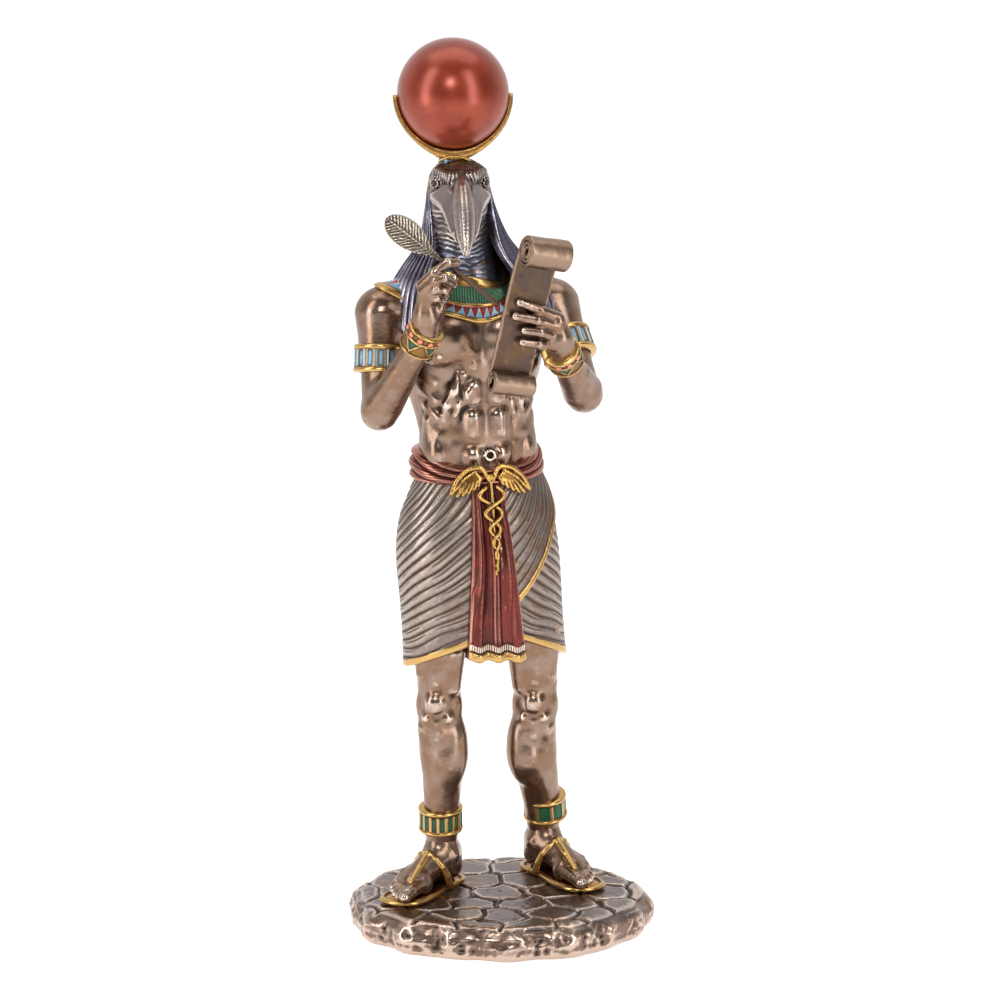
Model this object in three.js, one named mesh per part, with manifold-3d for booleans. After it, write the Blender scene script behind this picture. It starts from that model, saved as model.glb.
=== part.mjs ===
// A bronze-finished resin figure of a standing ibis-headed scribe on a stone-paved oval base.
// Millimetres, +Z up, the front faces -Y, and the origin is the middle of the underside.
// The figure is drawn 231 mm tall and scaled to FIGURE_HEIGHT. Its left is +X.
import * as THREE from "three";
import { mergeVertices } from "three/addons/utils/BufferGeometryUtils.js";
import Module from "manifold-3d";

const wasm = await Module();
wasm.setup();

// Driving dimensions
const FIGURE_HEIGHT = 231; // soles of the sandals to the crown
const BASE_WIDTH = 100;
const BASE_DEPTH = 76;
const BASE_HEIGHT = 10.7;
const PAVING_RELIEF = 0.9; // how far the paving stones stand above the joints between them
const PAVING_JOINT = 1.1; // width of the joints
const MOON_RADIUS = 17;
const HORN_THICKNESS = 11.6; // of the crescent at its lowest point, front to back
const HORN_DEPTH = 2.8; // of the crescent at its lowest point
const HORN_TIP = 1.2; // depth of its tips, which are half as thick again front to back
const HORN_TILT = THREE.MathUtils.degToRad(0.5);
const STAND_HEIGHT = 1.3; // of the foot between the crown and the crescent
const SCROLL_WIDTH = 13.6;
const SCROLL_LENGTH = 41; // between the two rolls' centres
const SCROLL_CURL = 3; // how far the sheet bends forward at its upper end
const SCROLL_SHEET = 1.1; // thickness of the sheet
const SCROLL_TOP_ROLL = 4.7; // outer radius
const SCROLL_BOTTOM_ROLL = 3.4;
const QUILL_SHAFT = 0.8; // radius
const QUILL_FEATHER_LENGTH = 20;
const QUILL_FEATHER_WIDTH = 8.8;
const CLEARANCE = 0.3; // between pieces that touch
const FIGURE_TRIANGLES = 6800;
const BASE_TRIANGLES = 1300;

// The figure's own frame
const DRAWN_HEIGHT = 231;
const DRAWN_SOLE = 11; // z of the soles where the figure is drawn
const SCALE = FIGURE_HEIGHT / DRAWN_HEIGHT;
const TORSO_TURN = THREE.MathUtils.degToRad(17); // towards the figure's left
const HEAD_TURN = THREE.MathUtils.degToRad(5.5);
const LEAN = -0.035; // sideways, per millimetre of height
const PELVIS = { x: -6.4, y: 7, z: 120 };
const HEAD = { x: -12.6, y: 4.5 };

// Vectors are [x, y, z]
const lerp = (a, b, t) => a.map((x, i) => x + (b[i] - x) * t);
const plus = (a, b, t = 1) => a.map((x, i) => x + b[i] * t);
const minus = (a, b) => a.map((x, i) => x - b[i]);
const dot = (a, b) => a[0] * b[0] + a[1] * b[1] + a[2] * b[2];
const cross = (a, b) => [
  a[1] * b[2] - a[2] * b[1],
  a[2] * b[0] - a[0] * b[2],
  a[0] * b[1] - a[1] * b[0],
];
const size = (a) => Math.hypot(a[0], a[1], a[2]);
const unit = (a) => a.map((x) => x / size(a));
const clamp = THREE.MathUtils.clamp;
const ease = (t) => t * t * (3 - 2 * t);
const UP = [0, 0, 1];

// Left, forward and up of something turned about the vertical
const axesOf = (turn) => [
  [Math.cos(turn), Math.sin(turn), 0],
  [Math.sin(turn), -Math.cos(turn), 0],
  UP,
];
const TORSO = axesOf(TORSO_TURN);
const SKULL = axesOf(HEAD_TURN);
const spineX = (z) => PELVIS.x + LEAN * (z - PELVIS.z);

// Points given as left, forward and height in the torso's and the head's turned frames
function torso(left, forward, z) {
  const middle = [spineX(z), PELVIS.y, z];
  return plus(plus(middle, TORSO[0], left), TORSO[1], forward);
}
function head(left, forward, z) {
  return plus(plus([HEAD.x, HEAD.y, z], SKULL[0], left), SKULL[1], forward);
}

// A value that runs smoothly through [at, value] pairs, which rise in at
function along(table, t) {
  const last = table.length - 1;
  const slope = (i) => {
    const before = table[Math.max(i - 1, 0)];
    const after = table[Math.min(i + 1, last)];
    return (after[1] - before[1]) / (after[0] - before[0]);
  };
  const at = clamp(t, table[0][0], table[last][0]);
  const i = Math.max(table.findIndex((knot) => knot[0] >= at), 1);
  const [t0, v0] = table[i - 1];
  const [t1, v1] = table[i];
  const u = (at - t0) / (t1 - t0);
  const bow = (t1 - t0) * u * (1 - u) * (slope(i - 1) * (1 - u) - slope(i) * u);
  return v0 + (v1 - v0) * ease(u) + bow;
}

// Clay: a body is a list of lumps, each melted into those before it over a width of blend mm

// A capsule from a to b whose radius runs from ra to rb
function limb(a, b, ra, rb, blend = 1.5) {
  const span = minus(b, a);
  return { kind: "limb", a, span, ra, rb, blend, long: dot(span, span) || 1 };
}
// An ellipsoid with its radii along the given axes
function lump(centre, radii, axes, blend = 1.5) {
  return { kind: "lump", centre, radii, axes, blend, least: Math.min(...radii) };
}
// The same shapes, taken away instead
const hollow = (shape) => ({ ...shape, away: true });

function distance(x, y, z, shape) {
  if (shape.kind === "lump") {
    const [dx, dy, dz] = [x - shape.centre[0], y - shape.centre[1], z - shape.centre[2]];
    let near = 0;
    let steep = 0;
    for (let i = 0; i < 3; i++) {
      const axis = shape.axes[i];
      const t = (dx * axis[0] + dy * axis[1] + dz * axis[2]) / shape.radii[i];
      near += t * t;
      steep += (t / shape.radii[i]) * (t / shape.radii[i]);
    }
    if (steep < 1e-12) return -shape.least;
    return (Math.sqrt(near) * (Math.sqrt(near) - 1)) / Math.sqrt(steep);
  }
  const { a, span, ra, rb } = shape;
  const [dx, dy, dz] = [x - a[0], y - a[1], z - a[2]];
  const t = clamp((dx * span[0] + dy * span[1] + dz * span[2]) / shape.long, 0, 1);
  return Math.hypot(dx - span[0] * t, dy - span[1] * t, dz - span[2] * t) - ra - (rb - ra) * t;
}

function melt(a, b, width) {
  const near = Math.max(width - Math.abs(a - b), 0) / width;
  return Math.min(a, b) - near * near * width * 0.25;
}

function fieldAt(x, y, z, shapes) {
  let d = 1e3;
  for (const shape of shapes) {
    const own = distance(x, y, z, shape);
    d = shape.away ? -melt(-d, own, shape.blend) : melt(d, own, shape.blend);
  }
  return d;
}

// The box around a list of lumps, with room for the blends
function boxOf(shapes, room) {
  const low = [1e9, 1e9, 1e9];
  const high = [-1e9, -1e9, -1e9];
  for (const s of shapes.filter((x) => !x.away)) {
    const ends = s.kind === "lump" ? [s.centre] : [s.a, plus(s.a, s.span)];
    const reach = s.kind === "lump" ? Math.max(...s.radii) : Math.max(s.ra, s.rb);
    for (const end of ends) {
      for (let i = 0; i < 3; i++) {
        low[i] = Math.min(low[i], end[i] - reach - room);
        high[i] = Math.max(high[i], end[i] + reach + room);
      }
    }
  }
  return [low, high];
}

// The surface of a body by marching tetrahedra, which always closes. Blocks of cells far from it are skipped.
const BLOCK = 4;
function surfaceOf(shapes, cell) {
  const corners = [0, 1, 2, 3, 4, 5, 6, 7].map((c) => [c & 1, (c >> 1) & 1, c >> 2]);
  // Six tetrahedra about the diagonal of a cell: one for each order of stepping along the three axes
  const orders = [[1, 2], [1, 4], [2, 1], [2, 4], [4, 1], [4, 2]];
  const tetrahedra = orders.map(([first, second]) => [0, first, first + second, 7]);
  const [low, high] = boxOf(shapes, 2 * cell);
  const blocks = high.map((h, i) => Math.ceil((h - low[i]) / cell / BLOCK));
  const n = blocks.map((b) => b * BLOCK + 1);
  const values = new Float32Array(n[0] * n[1] * n[2]).fill(NaN);
  const index = (i, j, k) => (k * n[1] + j) * n[0] + i;
  const reach = (BLOCK * cell * Math.sqrt(3)) / 2;
  const near = [];
  for (let bz = 0; bz < blocks[2]; bz++)
    for (let by = 0; by < blocks[1]; by++)
      for (let bx = 0; bx < blocks[0]; bx++) {
        const corner = [bx, by, bz].map((b, i) => low[i] + b * BLOCK * cell);
        const middle = corner.map((c) => c + (BLOCK * cell) / 2);
        if (Math.abs(fieldAt(...middle, shapes)) > reach * 2 + 1) continue;
        const mine = shapes.filter((s) => distance(...middle, s) < s.blend + 3 * reach + 2);
        for (let k = 0; k <= BLOCK; k++)
          for (let j = 0; j <= BLOCK; j++)
            for (let i = 0; i <= BLOCK; i++) {
              const at = index(bx * BLOCK + i, by * BLOCK + j, bz * BLOCK + k);
              if (!Number.isNaN(values[at])) continue;
              const d = fieldAt(corner[0] + i * cell, corner[1] + j * cell, corner[2] + k * cell, mine);
              values[at] = Math.abs(d) < 1e-4 ? 1e-4 : d;
            }
        near.push([bx, by, bz]);
      }
  const points = [];
  const triangles = [];
  const made = new Map();
  const place = (g) => [g % n[0], Math.floor(g / n[0]) % n[1], Math.floor(g / (n[0] * n[1]))];
  const cut = (g, h) => {
    const key = g < h ? g * values.length + h : h * values.length + g;
    if (!made.has(key)) {
      const t = clamp(values[g] / (values[g] - values[h]), 0.03, 0.97);
      const p = lerp(place(g), place(h), t);
      made.set(key, points.push(p.map((x, i) => low[i] + x * cell)) - 1);
    }
    return made.get(key);
  };
  const outward = (a, b, c, from, to) => {
    const normal = cross(minus(points[b], points[a]), minus(points[c], points[a]));
    triangles.push(dot(normal, minus(place(to), place(from))) > 0 ? [a, b, c] : [a, c, b]);
  };
  for (const [bx, by, bz] of near)
    for (let k = 0; k < BLOCK; k++)
      for (let j = 0; j < BLOCK; j++)
        for (let i = 0; i < BLOCK; i++) {
          const eight = corners.map((c) =>
            index(bx * BLOCK + i + c[0], by * BLOCK + j + c[1], bz * BLOCK + k + c[2]),
          );
          for (const four of tetrahedra) {
            const inside = four.map((c) => eight[c]).filter((g) => values[g] < 0);
            const outside = four.map((c) => eight[c]).filter((g) => values[g] >= 0);
            if (inside.length === 1) {
              const [a, b, c] = outside.map((g) => cut(inside[0], g));
              outward(a, b, c, inside[0], outside[0]);
            } else if (inside.length === 3) {
              const [a, b, c] = inside.map((g) => cut(g, outside[0]));
              outward(a, b, c, inside[0], outside[0]);
            } else if (inside.length === 2) {
              const [a, b, c, d] = [
                cut(inside[0], outside[0]), cut(inside[0], outside[1]),
                cut(inside[1], outside[1]), cut(inside[1], outside[0]),
              ];
              outward(a, b, c, inside[0], outside[0]);
              outward(a, c, d, inside[0], outside[0]);
            }
          }
        }
  return { points, triangles };
}

// Fewer triangles: the edge whose loss moves the surface least is collapsed, again and again
function thinned({ points, triangles }, wanted) {
  const faces = triangles;
  const around = points.map(() => new Set());
  const quadrics = points.map(() => new Float64Array(10));
  const stamps = new Uint32Array(points.length);
  faces.forEach((t, f) => {
    const [a, b, c] = t.map((v) => points[v]);
    const area = cross(minus(b, a), minus(c, a));
    const w = size(area) + 1e-9;
    const n = area.map((x) => x / w);
    const d = -dot(n, a);
    const own = [n[0] * n[0], n[0] * n[1], n[0] * n[2], n[0] * d, n[1] * n[1],
      n[1] * n[2], n[1] * d, n[2] * n[2], n[2] * d, d * d];
    for (const v of t) {
      around[v].add(f);
      for (let i = 0; i < 10; i++) quadrics[v][i] += own[i] * w;
    }
  });
  const cost = (q, [x, y, z]) =>
    q[0] * x * x + 2 * q[1] * x * y + 2 * q[2] * x * z + 2 * q[3] * x + q[4] * y * y +
    2 * q[5] * y * z + 2 * q[6] * y + q[7] * z * z + 2 * q[8] * z + q[9];
  // The point that the planes around an edge agree on best, where they do
  const agreed = (q) => {
    const rows = [[q[0], q[1], q[2]], [q[1], q[4], q[5]], [q[2], q[5], q[7]]];
    const sides = [cross(rows[1], rows[2]), cross(rows[2], rows[0]), cross(rows[0], rows[1])];
    const det = dot(rows[0], sides[0]);
    if (Math.abs(det) < 1e-3 * (q[0] + q[4] + q[7]) ** 3) return null;
    return [0, 1, 2].map((i) => -(q[3] * sides[0][i] + q[6] * sides[1][i] + q[8] * sides[2][i]) / det);
  };
  const heap = [];
  const swap = (i, j) => ([heap[i], heap[j]] = [heap[j], heap[i]]);
  const push = (entry) => {
    let i = heap.push(entry) - 1;
    for (let up = (i - 1) >> 1; i > 0 && heap[up].cost > heap[i].cost; up = (i - 1) >> 1) {
      swap(up, i);
      i = up;
    }
  };
  const pop = () => {
    swap(0, heap.length - 1);
    const top = heap.pop();
    for (let i = 0, low = 1; low < heap.length; low = 2 * i + 1) {
      if (low + 1 < heap.length && heap[low + 1].cost < heap[low].cost) low++;
      if (heap[i].cost <= heap[low].cost) break;
      swap(i, low);
      i = low;
    }
    return top;
  };
  const offer = (u, v) => {
    const q = quadrics[u].map((x, i) => x + quadrics[v][i]);
    const [a, b] = [points[u], points[v]];
    const middle = lerp(a, b, 0.5);
    const long = size(minus(a, b));
    const best = agreed(q);
    const tries = best && size(minus(best, middle)) < long ? [best] : [middle, a, b];
    const costs = tries.map((p) => cost(q, p));
    const least = Math.min(...costs);
    const to = tries[costs.indexOf(least)];
    push({ cost: least + 1e-4 * long ** 3, u, v, to, su: stamps[u], sv: stamps[v] });
  };
  const neighbours = (v) => {
    const found = new Set();
    for (const f of around[v]) for (const w of faces[f]) if (w !== v) found.add(w);
    return found;
  };
  const flips = (v, other, to) => {
    for (const f of around[v]) {
      if (faces[f].includes(other)) continue;
      const corner = faces[f].indexOf(v);
      const [b, c] = [1, 2].map((i) => points[faces[f][(corner + i) % 3]]);
      const before = cross(minus(b, points[v]), minus(c, points[v]));
      const after = cross(minus(b, to), minus(c, to));
      if (dot(before, after) < 0.2 * size(before) * size(after)) return true;
      if (size(after) < 0.02 * size(minus(b, c)) ** 2) return true;
    }
    return false;
  };
  points.forEach((_, v) => neighbours(v).forEach((w) => v < w && offer(v, w)));
  let count = faces.length;
  while (count > wanted && heap.length) {
    const { u, v, to, su, sv } = pop();
    if (stamps[u] !== su || stamps[v] !== sv) continue;
    const mine = neighbours(u);
    const shared = [...neighbours(v)].filter((w) => mine.has(w));
    if (shared.length !== 2 || flips(u, v, to) || flips(v, u, to)) continue;
    points[u] = to;
    for (const f of around[v]) {
      if (faces[f].includes(u)) {
        for (const w of faces[f]) if (w !== v) around[w].delete(f);
        count--;
      } else {
        faces[f] = faces[f].map((w) => (w === v ? u : w));
        around[u].add(f);
      }
    }
    around[v].clear();
    for (let i = 0; i < 10; i++) quadrics[u][i] += quadrics[v][i];
    stamps[u]++;
    stamps[v]++;
    for (const w of neighbours(u)) offer(u, w);
  }
  const kept = new Set(around.flatMap((fs) => [...fs]));
  return { points, triangles: [...kept].map((f) => faces[f]) };
}

// Solids: manifold-3d joins and cuts them
function solidFrom({ points, triangles }) {
  const geometry = new THREE.BufferGeometry();
  geometry.setAttribute("position", new THREE.Float32BufferAttribute(points.flat(), 3));
  geometry.setIndex(triangles.flat());
  return solidOf(geometry);
}
function solidOf(geometry) {
  const bare = geometry.clone();
  for (const name of ["normal", "uv"]) bare.deleteAttribute(name);
  const merged = mergeVertices(bare, 1e-4);
  const vertProperties = new Float32Array(merged.attributes.position.array);
  const triVerts = new Uint32Array(merged.index.array);
  const solid = new wasm.Manifold(new wasm.Mesh({ numProp: 3, vertProperties, triVerts }));
  if (solid.volume() > 0) return solid;
  triVerts.reverse(); // its faces pointed inwards
  return new wasm.Manifold(new wasm.Mesh({ numProp: 3, vertProperties, triVerts }));
}
function meshOf(solid) {
  const { vertProperties, triVerts } = solid.getMesh();
  const three = (list, i) => [list[3 * i], list[3 * i + 1], list[3 * i + 2]];
  return {
    points: Array.from({ length: vertProperties.length / 3 }, (_, i) => three(vertProperties, i)),
    triangles: Array.from({ length: triVerts.length / 3 }, (_, i) => three(triVerts, i)),
  };
}
// The outer shell of a joined solid, without the slivers that joining leaves
function lightened(solid, wanted) {
  const [shell] = solid.decompose().sort((a, b) => b.volume() - a.volume());
  return solidFrom(thinned(meshOf(shell), wanted));
}
const clay = (shapes, cell, wanted) => solidFrom(thinned(surfaceOf(shapes, cell), wanted));
const joined = (solids) => solids.reduce((a, b) => a.add(b));

// A closed solid between two grids of points with the same rows and columns, the outer one facing out
function slab(outer, inner, wraps = false) {
  const rows = outer.length;
  const columns = outer[0].length;
  const points = [...outer.flat(), ...inner.flat()];
  const out = (r, c) => r * columns + (c % columns);
  const back = (r, c) => rows * columns + out(r, c);
  const triangles = [];
  const quad = (a, b, c, d) => triangles.push([a, b, c], [a, c, d]);
  const steps = wraps ? columns : columns - 1;
  for (let r = 0; r + 1 < rows; r++)
    for (let c = 0; c < steps; c++) {
      quad(out(r, c), out(r, c + 1), out(r + 1, c + 1), out(r + 1, c));
      quad(back(r, c), back(r + 1, c), back(r + 1, c + 1), back(r, c + 1));
    }
  for (let c = 0; c < steps; c++) {
    quad(out(0, c), back(0, c), back(0, c + 1), out(0, c + 1));
    quad(out(rows - 1, c), out(rows - 1, c + 1), back(rows - 1, c + 1), back(rows - 1, c));
  }
  for (let r = 0; r + 1 < rows && !wraps; r++) {
    quad(out(r, 0), out(r + 1, 0), back(r + 1, 0), back(r, 0));
    quad(out(r, columns - 1), back(r, columns - 1), back(r + 1, columns - 1), out(r + 1, columns - 1));
  }
  return solidFrom({ points, triangles });
}

// A solid through closed rings of points, counter-clockwise from above and rising, capped flat
function loft(rings) {
  const count = rings[0].length;
  const points = rings.flat();
  const triangles = [];
  rings.slice(1).forEach((_, r) => {
    for (let c = 0; c < count; c++) {
      const [a, b] = [r * count + c, r * count + ((c + 1) % count)];
      triangles.push([a, b, b + count], [a, b + count, a + count]);
    }
  });
  const middle = (ring) => ring.reduce((s, p) => plus(s, p, 1 / count), [0, 0, 0]);
  const low = points.push(middle(rings[0])) - 1;
  const high = points.push(middle(rings[rings.length - 1])) - 1;
  const last = (rings.length - 1) * count;
  for (let c = 0; c < count; c++) {
    triangles.push([low, (c + 1) % count, c], [high, last + c, last + ((c + 1) % count)]);
  }
  return solidFrom({ points, triangles });
}

// A round band on a limb: a turned profile of [radius, height] pairs that closes on itself
function turned(profile, middle, direction, sides) {
  const outline = [...profile, profile[0]].map(([r, h]) => new THREE.Vector2(r, h));
  const geometry = new THREE.LatheGeometry(outline, sides);
  const turn = new THREE.Quaternion().setFromUnitVectors(
    new THREE.Vector3(0, 1, 0),
    new THREE.Vector3(...unit(direction)),
  );
  geometry.applyQuaternion(turn).translate(...middle);
  return solidOf(geometry);
}

// Places on the body
const SIDES = [-1, 1]; // the figure's right, then its left
const LEGS = [
  { hip: torso(-11.5, 0, 118), knee: [-19.2, 0.2, 73], ankle: [-18.9, 5.2, 27], toes: [-0.6, -0.8, 0] },
  { hip: torso(11, 0, 118), knee: [11.2, 8.5, 71], ankle: [14.4, 18.4, 27], toes: [0.61, -0.79, 0] },
];
const ARMS = [
  { shoulder: torso(-28, 0, 196.5), elbow: [-36.8, -8, 167.5], wrist: [-22.4, -23, 194.6] },
  { shoulder: torso(26.5, 0, 196.5), elbow: [25.8, -1.5, 171.8], wrist: [18.4, -24.4, 188.8] },
];

function trunk() {
  const shapes = [
    lump(torso(0, 0, 136), [21.5, 14, 20], TORSO, 4),
    lump(torso(0, 0.5, 157), [17.6, 11.6, 24], TORSO, 4),
    lump(torso(0, -0.5, 182), [22, 13.2, 21], TORSO, 4),
    limb(torso(-19, -1, 196.5), torso(19, -1, 196.5), 9, 9, 4),
    limb(torso(0, 0, 198), head(0, -1, 222), 11.4, 8.6, 4),
  ];
  for (const s of SIDES) {
    // Back and flanks
    shapes.push(limb(torso(18 * s, -4, 192), torso(13 * s, -3, 163), 7.4, 4.6, 3));
    shapes.push(limb(torso(5 * s, -2, 206.5), torso(24 * s, -2, 201), 4.6, 4, 4));
    shapes.push(lump(torso(10 * s, -9, 190), [8, 5, 11], TORSO, 2));
    shapes.push(limb(torso(4.5 * s, -9.4, 182), torso(4.5 * s, -9, 150), 4, 3.6, 1.5));
    shapes.push(lump(torso(14 * s, 3, 153.5), [4.4, 7, 8], TORSO, 2.5));
    // Chest
    shapes.push(lump(torso(9.4 * s, 8.2, 189.6), [10.2, 7.8, 8.8], TORSO, 0.6));
    shapes.push(lump(torso(6.4 * s, 9.6, 186.2), [6.4, 6, 5.2], TORSO, 1.4));
    shapes.push(limb(torso(14 * s, 8, 191), torso(23 * s, 2.5, 195), 6.2, 5, 2));
    // Ribs beside the belly
    for (let i = 0; i < 4; i++) {
      const z = 177 - 6 * i;
      shapes.push(limb(torso((16.6 - i) * s, 4.6, z + 2.6), torso((12 - 0.4 * i) * s, 8, z - 2.2), 3, 2.2, 0.9));
    }
    // Belly muscles in three rows and the long one below them
    for (const [z, forward] of [[177.2, 9.5], [169.8, 9.4], [162.4, 8.9]]) {
      shapes.push(limb(torso(2.4 * s, forward + 0.4, z), torso(6.4 * s, forward - 0.8, z), 3.7, 3.4, 0.5));
    }
    shapes.push(limb(torso(3.2 * s, 8.6, 155.5), torso(2.8 * s, 8.6, 145), 4.6, 4, 0.6));
  }
  shapes.push(hollow(limb(torso(0, 14.6, 183), torso(0, 13.6, 150), 0.9, 0.8, 1.2)));
  shapes.push(hollow(limb(torso(0, 16.4, 198), torso(0, 16, 182), 0.9, 1, 2)));
  shapes.push(hollow(limb(torso(0, -15.6, 198), torso(0, -13.4, 146), 1.8, 1.6, 2)));
  shapes.push(lump(torso(0, 11.8, 152.2), [2.3, 1.4, 2.3], TORSO, 0.6));
  shapes.push(hollow(lump(torso(0, 13.4, 152.2), [1.2, 2.2, 1.2], TORSO, 0.4)));
  return shapes;
}

// Upper arm and forearm, with the muscles set off along forward from the bone
function arm({ shoulder, elbow, wrist }) {
  const bone = unit(minus(elbow, shoulder));
  const hinge = unit(cross(minus(wrist, elbow), bone));
  const forward = cross(bone, hinge);
  const upper = (t, off) => plus(lerp(shoulder, elbow, t), forward, off);
  const fore = (t, off) => plus(lerp(elbow, wrist, t), hinge, off);
  return [
    limb(shoulder, upper(0.34, 0), 8.6, 6.4, 3),
    limb(shoulder, elbow, 7.2, 5.3, 2),
    limb(upper(0.42, 2.4), upper(0.74, 2), 4.8, 4.4, 1.4),
    limb(upper(0.3, -2.4), upper(0.72, -1.6), 4.8, 4.3, 1.4),
    limb(elbow, wrist, 5.5, 3.9, 2),
    limb(fore(0.1, 1.7), fore(0.45, 1.2), 4.6, 3.9, 1.2),
    limb(fore(0.1, -1.7), fore(0.5, -1), 4.4, 3.6, 1.2),
    lump(plus(elbow, forward, -3), [3.2, 3.2, 3.2], TORSO, 2),
  ];
}

function leg({ hip, knee, ankle, toes }, side) {
  const out = [toes[1] * -side, toes[0] * side, 0];
  const at = (base, forward, outward, up) => plus(plus(plus(base, toes, forward), out, outward), UP, up);
  return [
    limb(hip, knee, 11.4, 7.4, 3),
    limb(at(knee, 1.4, -3.2, 6), at(knee, 2, -3.2, 16), 4.4, 5.4, 1.6),
    limb(at(knee, 1.4, 3, 9), at(knee, 2, 2.6, 22), 4.4, 5.4, 1.6),
    lump(at(knee, 4.6, 0, 0.5), [4.2, 3.6, 4.6], TORSO, 1.6),
    lump(at(knee, 4.6, 0, -6.5), [2.8, 2.4, 3], TORSO, 2),
    limb(at(knee, 0, 0, -4), at(ankle, 0, 0, 4), 6.7, 4.7, 4),
    limb(at(ankle, 0, 0, 4), at(ankle, 0, 0, -4), 4.6, 4.6, 3),
    limb(at(knee, 2.4, -0.6, -10), at(ankle, 1.4, -0.6, 8), 4.4, 3, 2),
    lump(at(knee, -2, -3, -15.5), [5.7, 5.7, 13.5], TORSO, 3.5),
    lump(at(knee, -2, 2.8, -15), [5.4, 5.4, 13], TORSO, 3.5),
    limb(at(knee, -3.4, 0, -22), at(ankle, -2.6, 0, -4), 3.2, 2.4, 4),
  ];
}

// A foot from under the anklet to the toes, on z = the top of the sole
const SOLE_TOP = DRAWN_SOLE + 1.6;
function foot({ ankle, toes }, side) {
  const out = [toes[1] * -side, toes[0] * side, 0];
  const at = (forward, outward, up) =>
    plus(plus([ankle[0], ankle[1], SOLE_TOP + up], toes, forward), out, outward);
  const shapes = [
    limb(at(0, 0, 16), at(-0.5, 0, 9), 4.6, 5, 2),
    limb(at(-3.5, 0, 4.4), at(-4.2, 0, 9), 4.7, 4, 3),
    limb(at(0, 0, 8.5), at(15, -0.6, 3.6), 5.4, 3.8, 3),
    limb(at(-3, 0.6, 3.8), at(13, 2.6, 2.8), 4, 3.2, 2.5),
    limb(at(13.5, -3, 3), at(14.5, 3.4, 2.6), 3.5, 3, 2),
    lump(at(-0.5, -4.6, 9), [2, 2.2, 2.4], TORSO, 1.4),
    lump(at(-1.5, 4.7, 8), [2, 2.2, 2.4], TORSO, 1.4),
  ];
  // Five toes, the great toe on the inside
  for (let i = 0; i < 5; i++) {
    const sideways = -3.7 + 2.15 * i - (i > 0 ? 0 : 0.4);
    const reach = 22.4 - 0.25 * i - 0.55 * i * i * 0.5;
    const radius = i === 0 ? 2 : 1.45 - 0.06 * i;
    shapes.push(limb(at(15, sideways * 0.86, 2.6), at(reach - 2.6, sideways, 2.6), radius + 0.2, radius, 0.9));
    shapes.push(limb(at(reach - 2.6, sideways, 2.6), at(reach, sideways, radius - 0.1), radius, radius * 0.9, 0.5));
  }
  // Sandal straps: a bar from the toes to the instep, and one round it to either side
  const top = at(7.2, -0.6, 10.6);
  const straps = [
    limb(at(18.6, -2.6, 4.9), at(13, -1.8, 8.1), 0.8, 1.1, 0.3),
    limb(at(13, -1.8, 8.1), top, 1.1, 1.2, 0.3),
    limb(top, at(5.8, 4.8, 7.4), 1.1, 1.1, 0.3),
    limb(at(5.8, 4.8, 7.4), at(2, 5.3, 0.6), 1.1, 1, 0.3),
    limb(top, at(6, -5.2, 7), 1.1, 1.1, 0.3),
    limb(at(6, -5.2, 7), at(2.5, -5.4, 0.6), 1.1, 1, 0.3),
  ];
  return [...shapes, ...straps];
}

function soleOutline() {
  // Heel to toe along +Y, the inside of the foot on -X
  const shape = new THREE.Shape();
  shape.moveTo(0, -9.4);
  shape.bezierCurveTo(6.4, -9.4, 6.2, -2, 5.2, 3);
  shape.bezierCurveTo(6.8, 9, 8.2, 14, 7.6, 19);
  shape.bezierCurveTo(6.6, 25.4, -0.5, 27, -4.4, 25.4);
  shape.bezierCurveTo(-8.4, 23, -7.4, 13, -5.6, 6);
  shape.bezierCurveTo(-5, 1, -6.8, -9.4, 0, -9.4);
  return shape;
}
function sole({ ankle, toes }, side) {
  const thick = SOLE_TOP - DRAWN_SOLE;
  const geometry = new THREE.ExtrudeGeometry(soleOutline(), { depth: thick, bevelEnabled: false, curveSegments: 5 });
  if (side < 0) geometry.scale(-1, 1, 1);
  geometry.rotateZ(Math.atan2(toes[1], toes[0]) - Math.PI / 2);
  geometry.translate(ankle[0], ankle[1], DRAWN_SOLE);
  return solidOf(geometry);
}

// Fingers run through their joints, tip last
const finger = (joints, radius) =>
  joints.slice(1).map((p, i) => limb(joints[i], p, radius * (1 - 0.06 * i), radius * (0.94 - 0.06 * i), 0.5));

function writingHand() {
  const { wrist } = ARMS[0];
  return [
    limb(wrist, [-21.9, -24, 200], 4.6, 4.2, 1.5),
    limb([-21.9, -24.5, 199], [-22.2, -26.8, 207.5], 3.6, 2.2, 1.5),
    limb([-21.4, -24, 199], [-22.2, -25.2, 203], 3.8, 2.4, 1.5),
    limb([-20.4, -23.5, 196], [-18.2, -24.8, 202], 2.8, 2, 1.2),
    ...finger([[-23.4, -27, 209.3], [-19.4, -29.8, 213.6], [-15.4, -29.6, 216.6], [-12.7, -28.2, 216.4]], 1.6),
    ...finger([[-23, -27.5, 207.4], [-18.9, -31, 211.4], [-16.5, -31.4, 212.2], [-13.8, -29, 210]], 1.6),
    ...finger([[-22.6, -27, 205.4], [-18.8, -31, 208.8], [-16.4, -30, 208.3]], 1.55),
    ...finger([[-22, -25.8, 203.2], [-18.9, -29.5, 206], [-16.9, -28.2, 205.4]], 1.45),
    ...finger([[-18.2, -24.8, 202], [-16.2, -25.4, 207], [-13.8, -25.4, 211.4]], 1.7),
  ];
}

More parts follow.
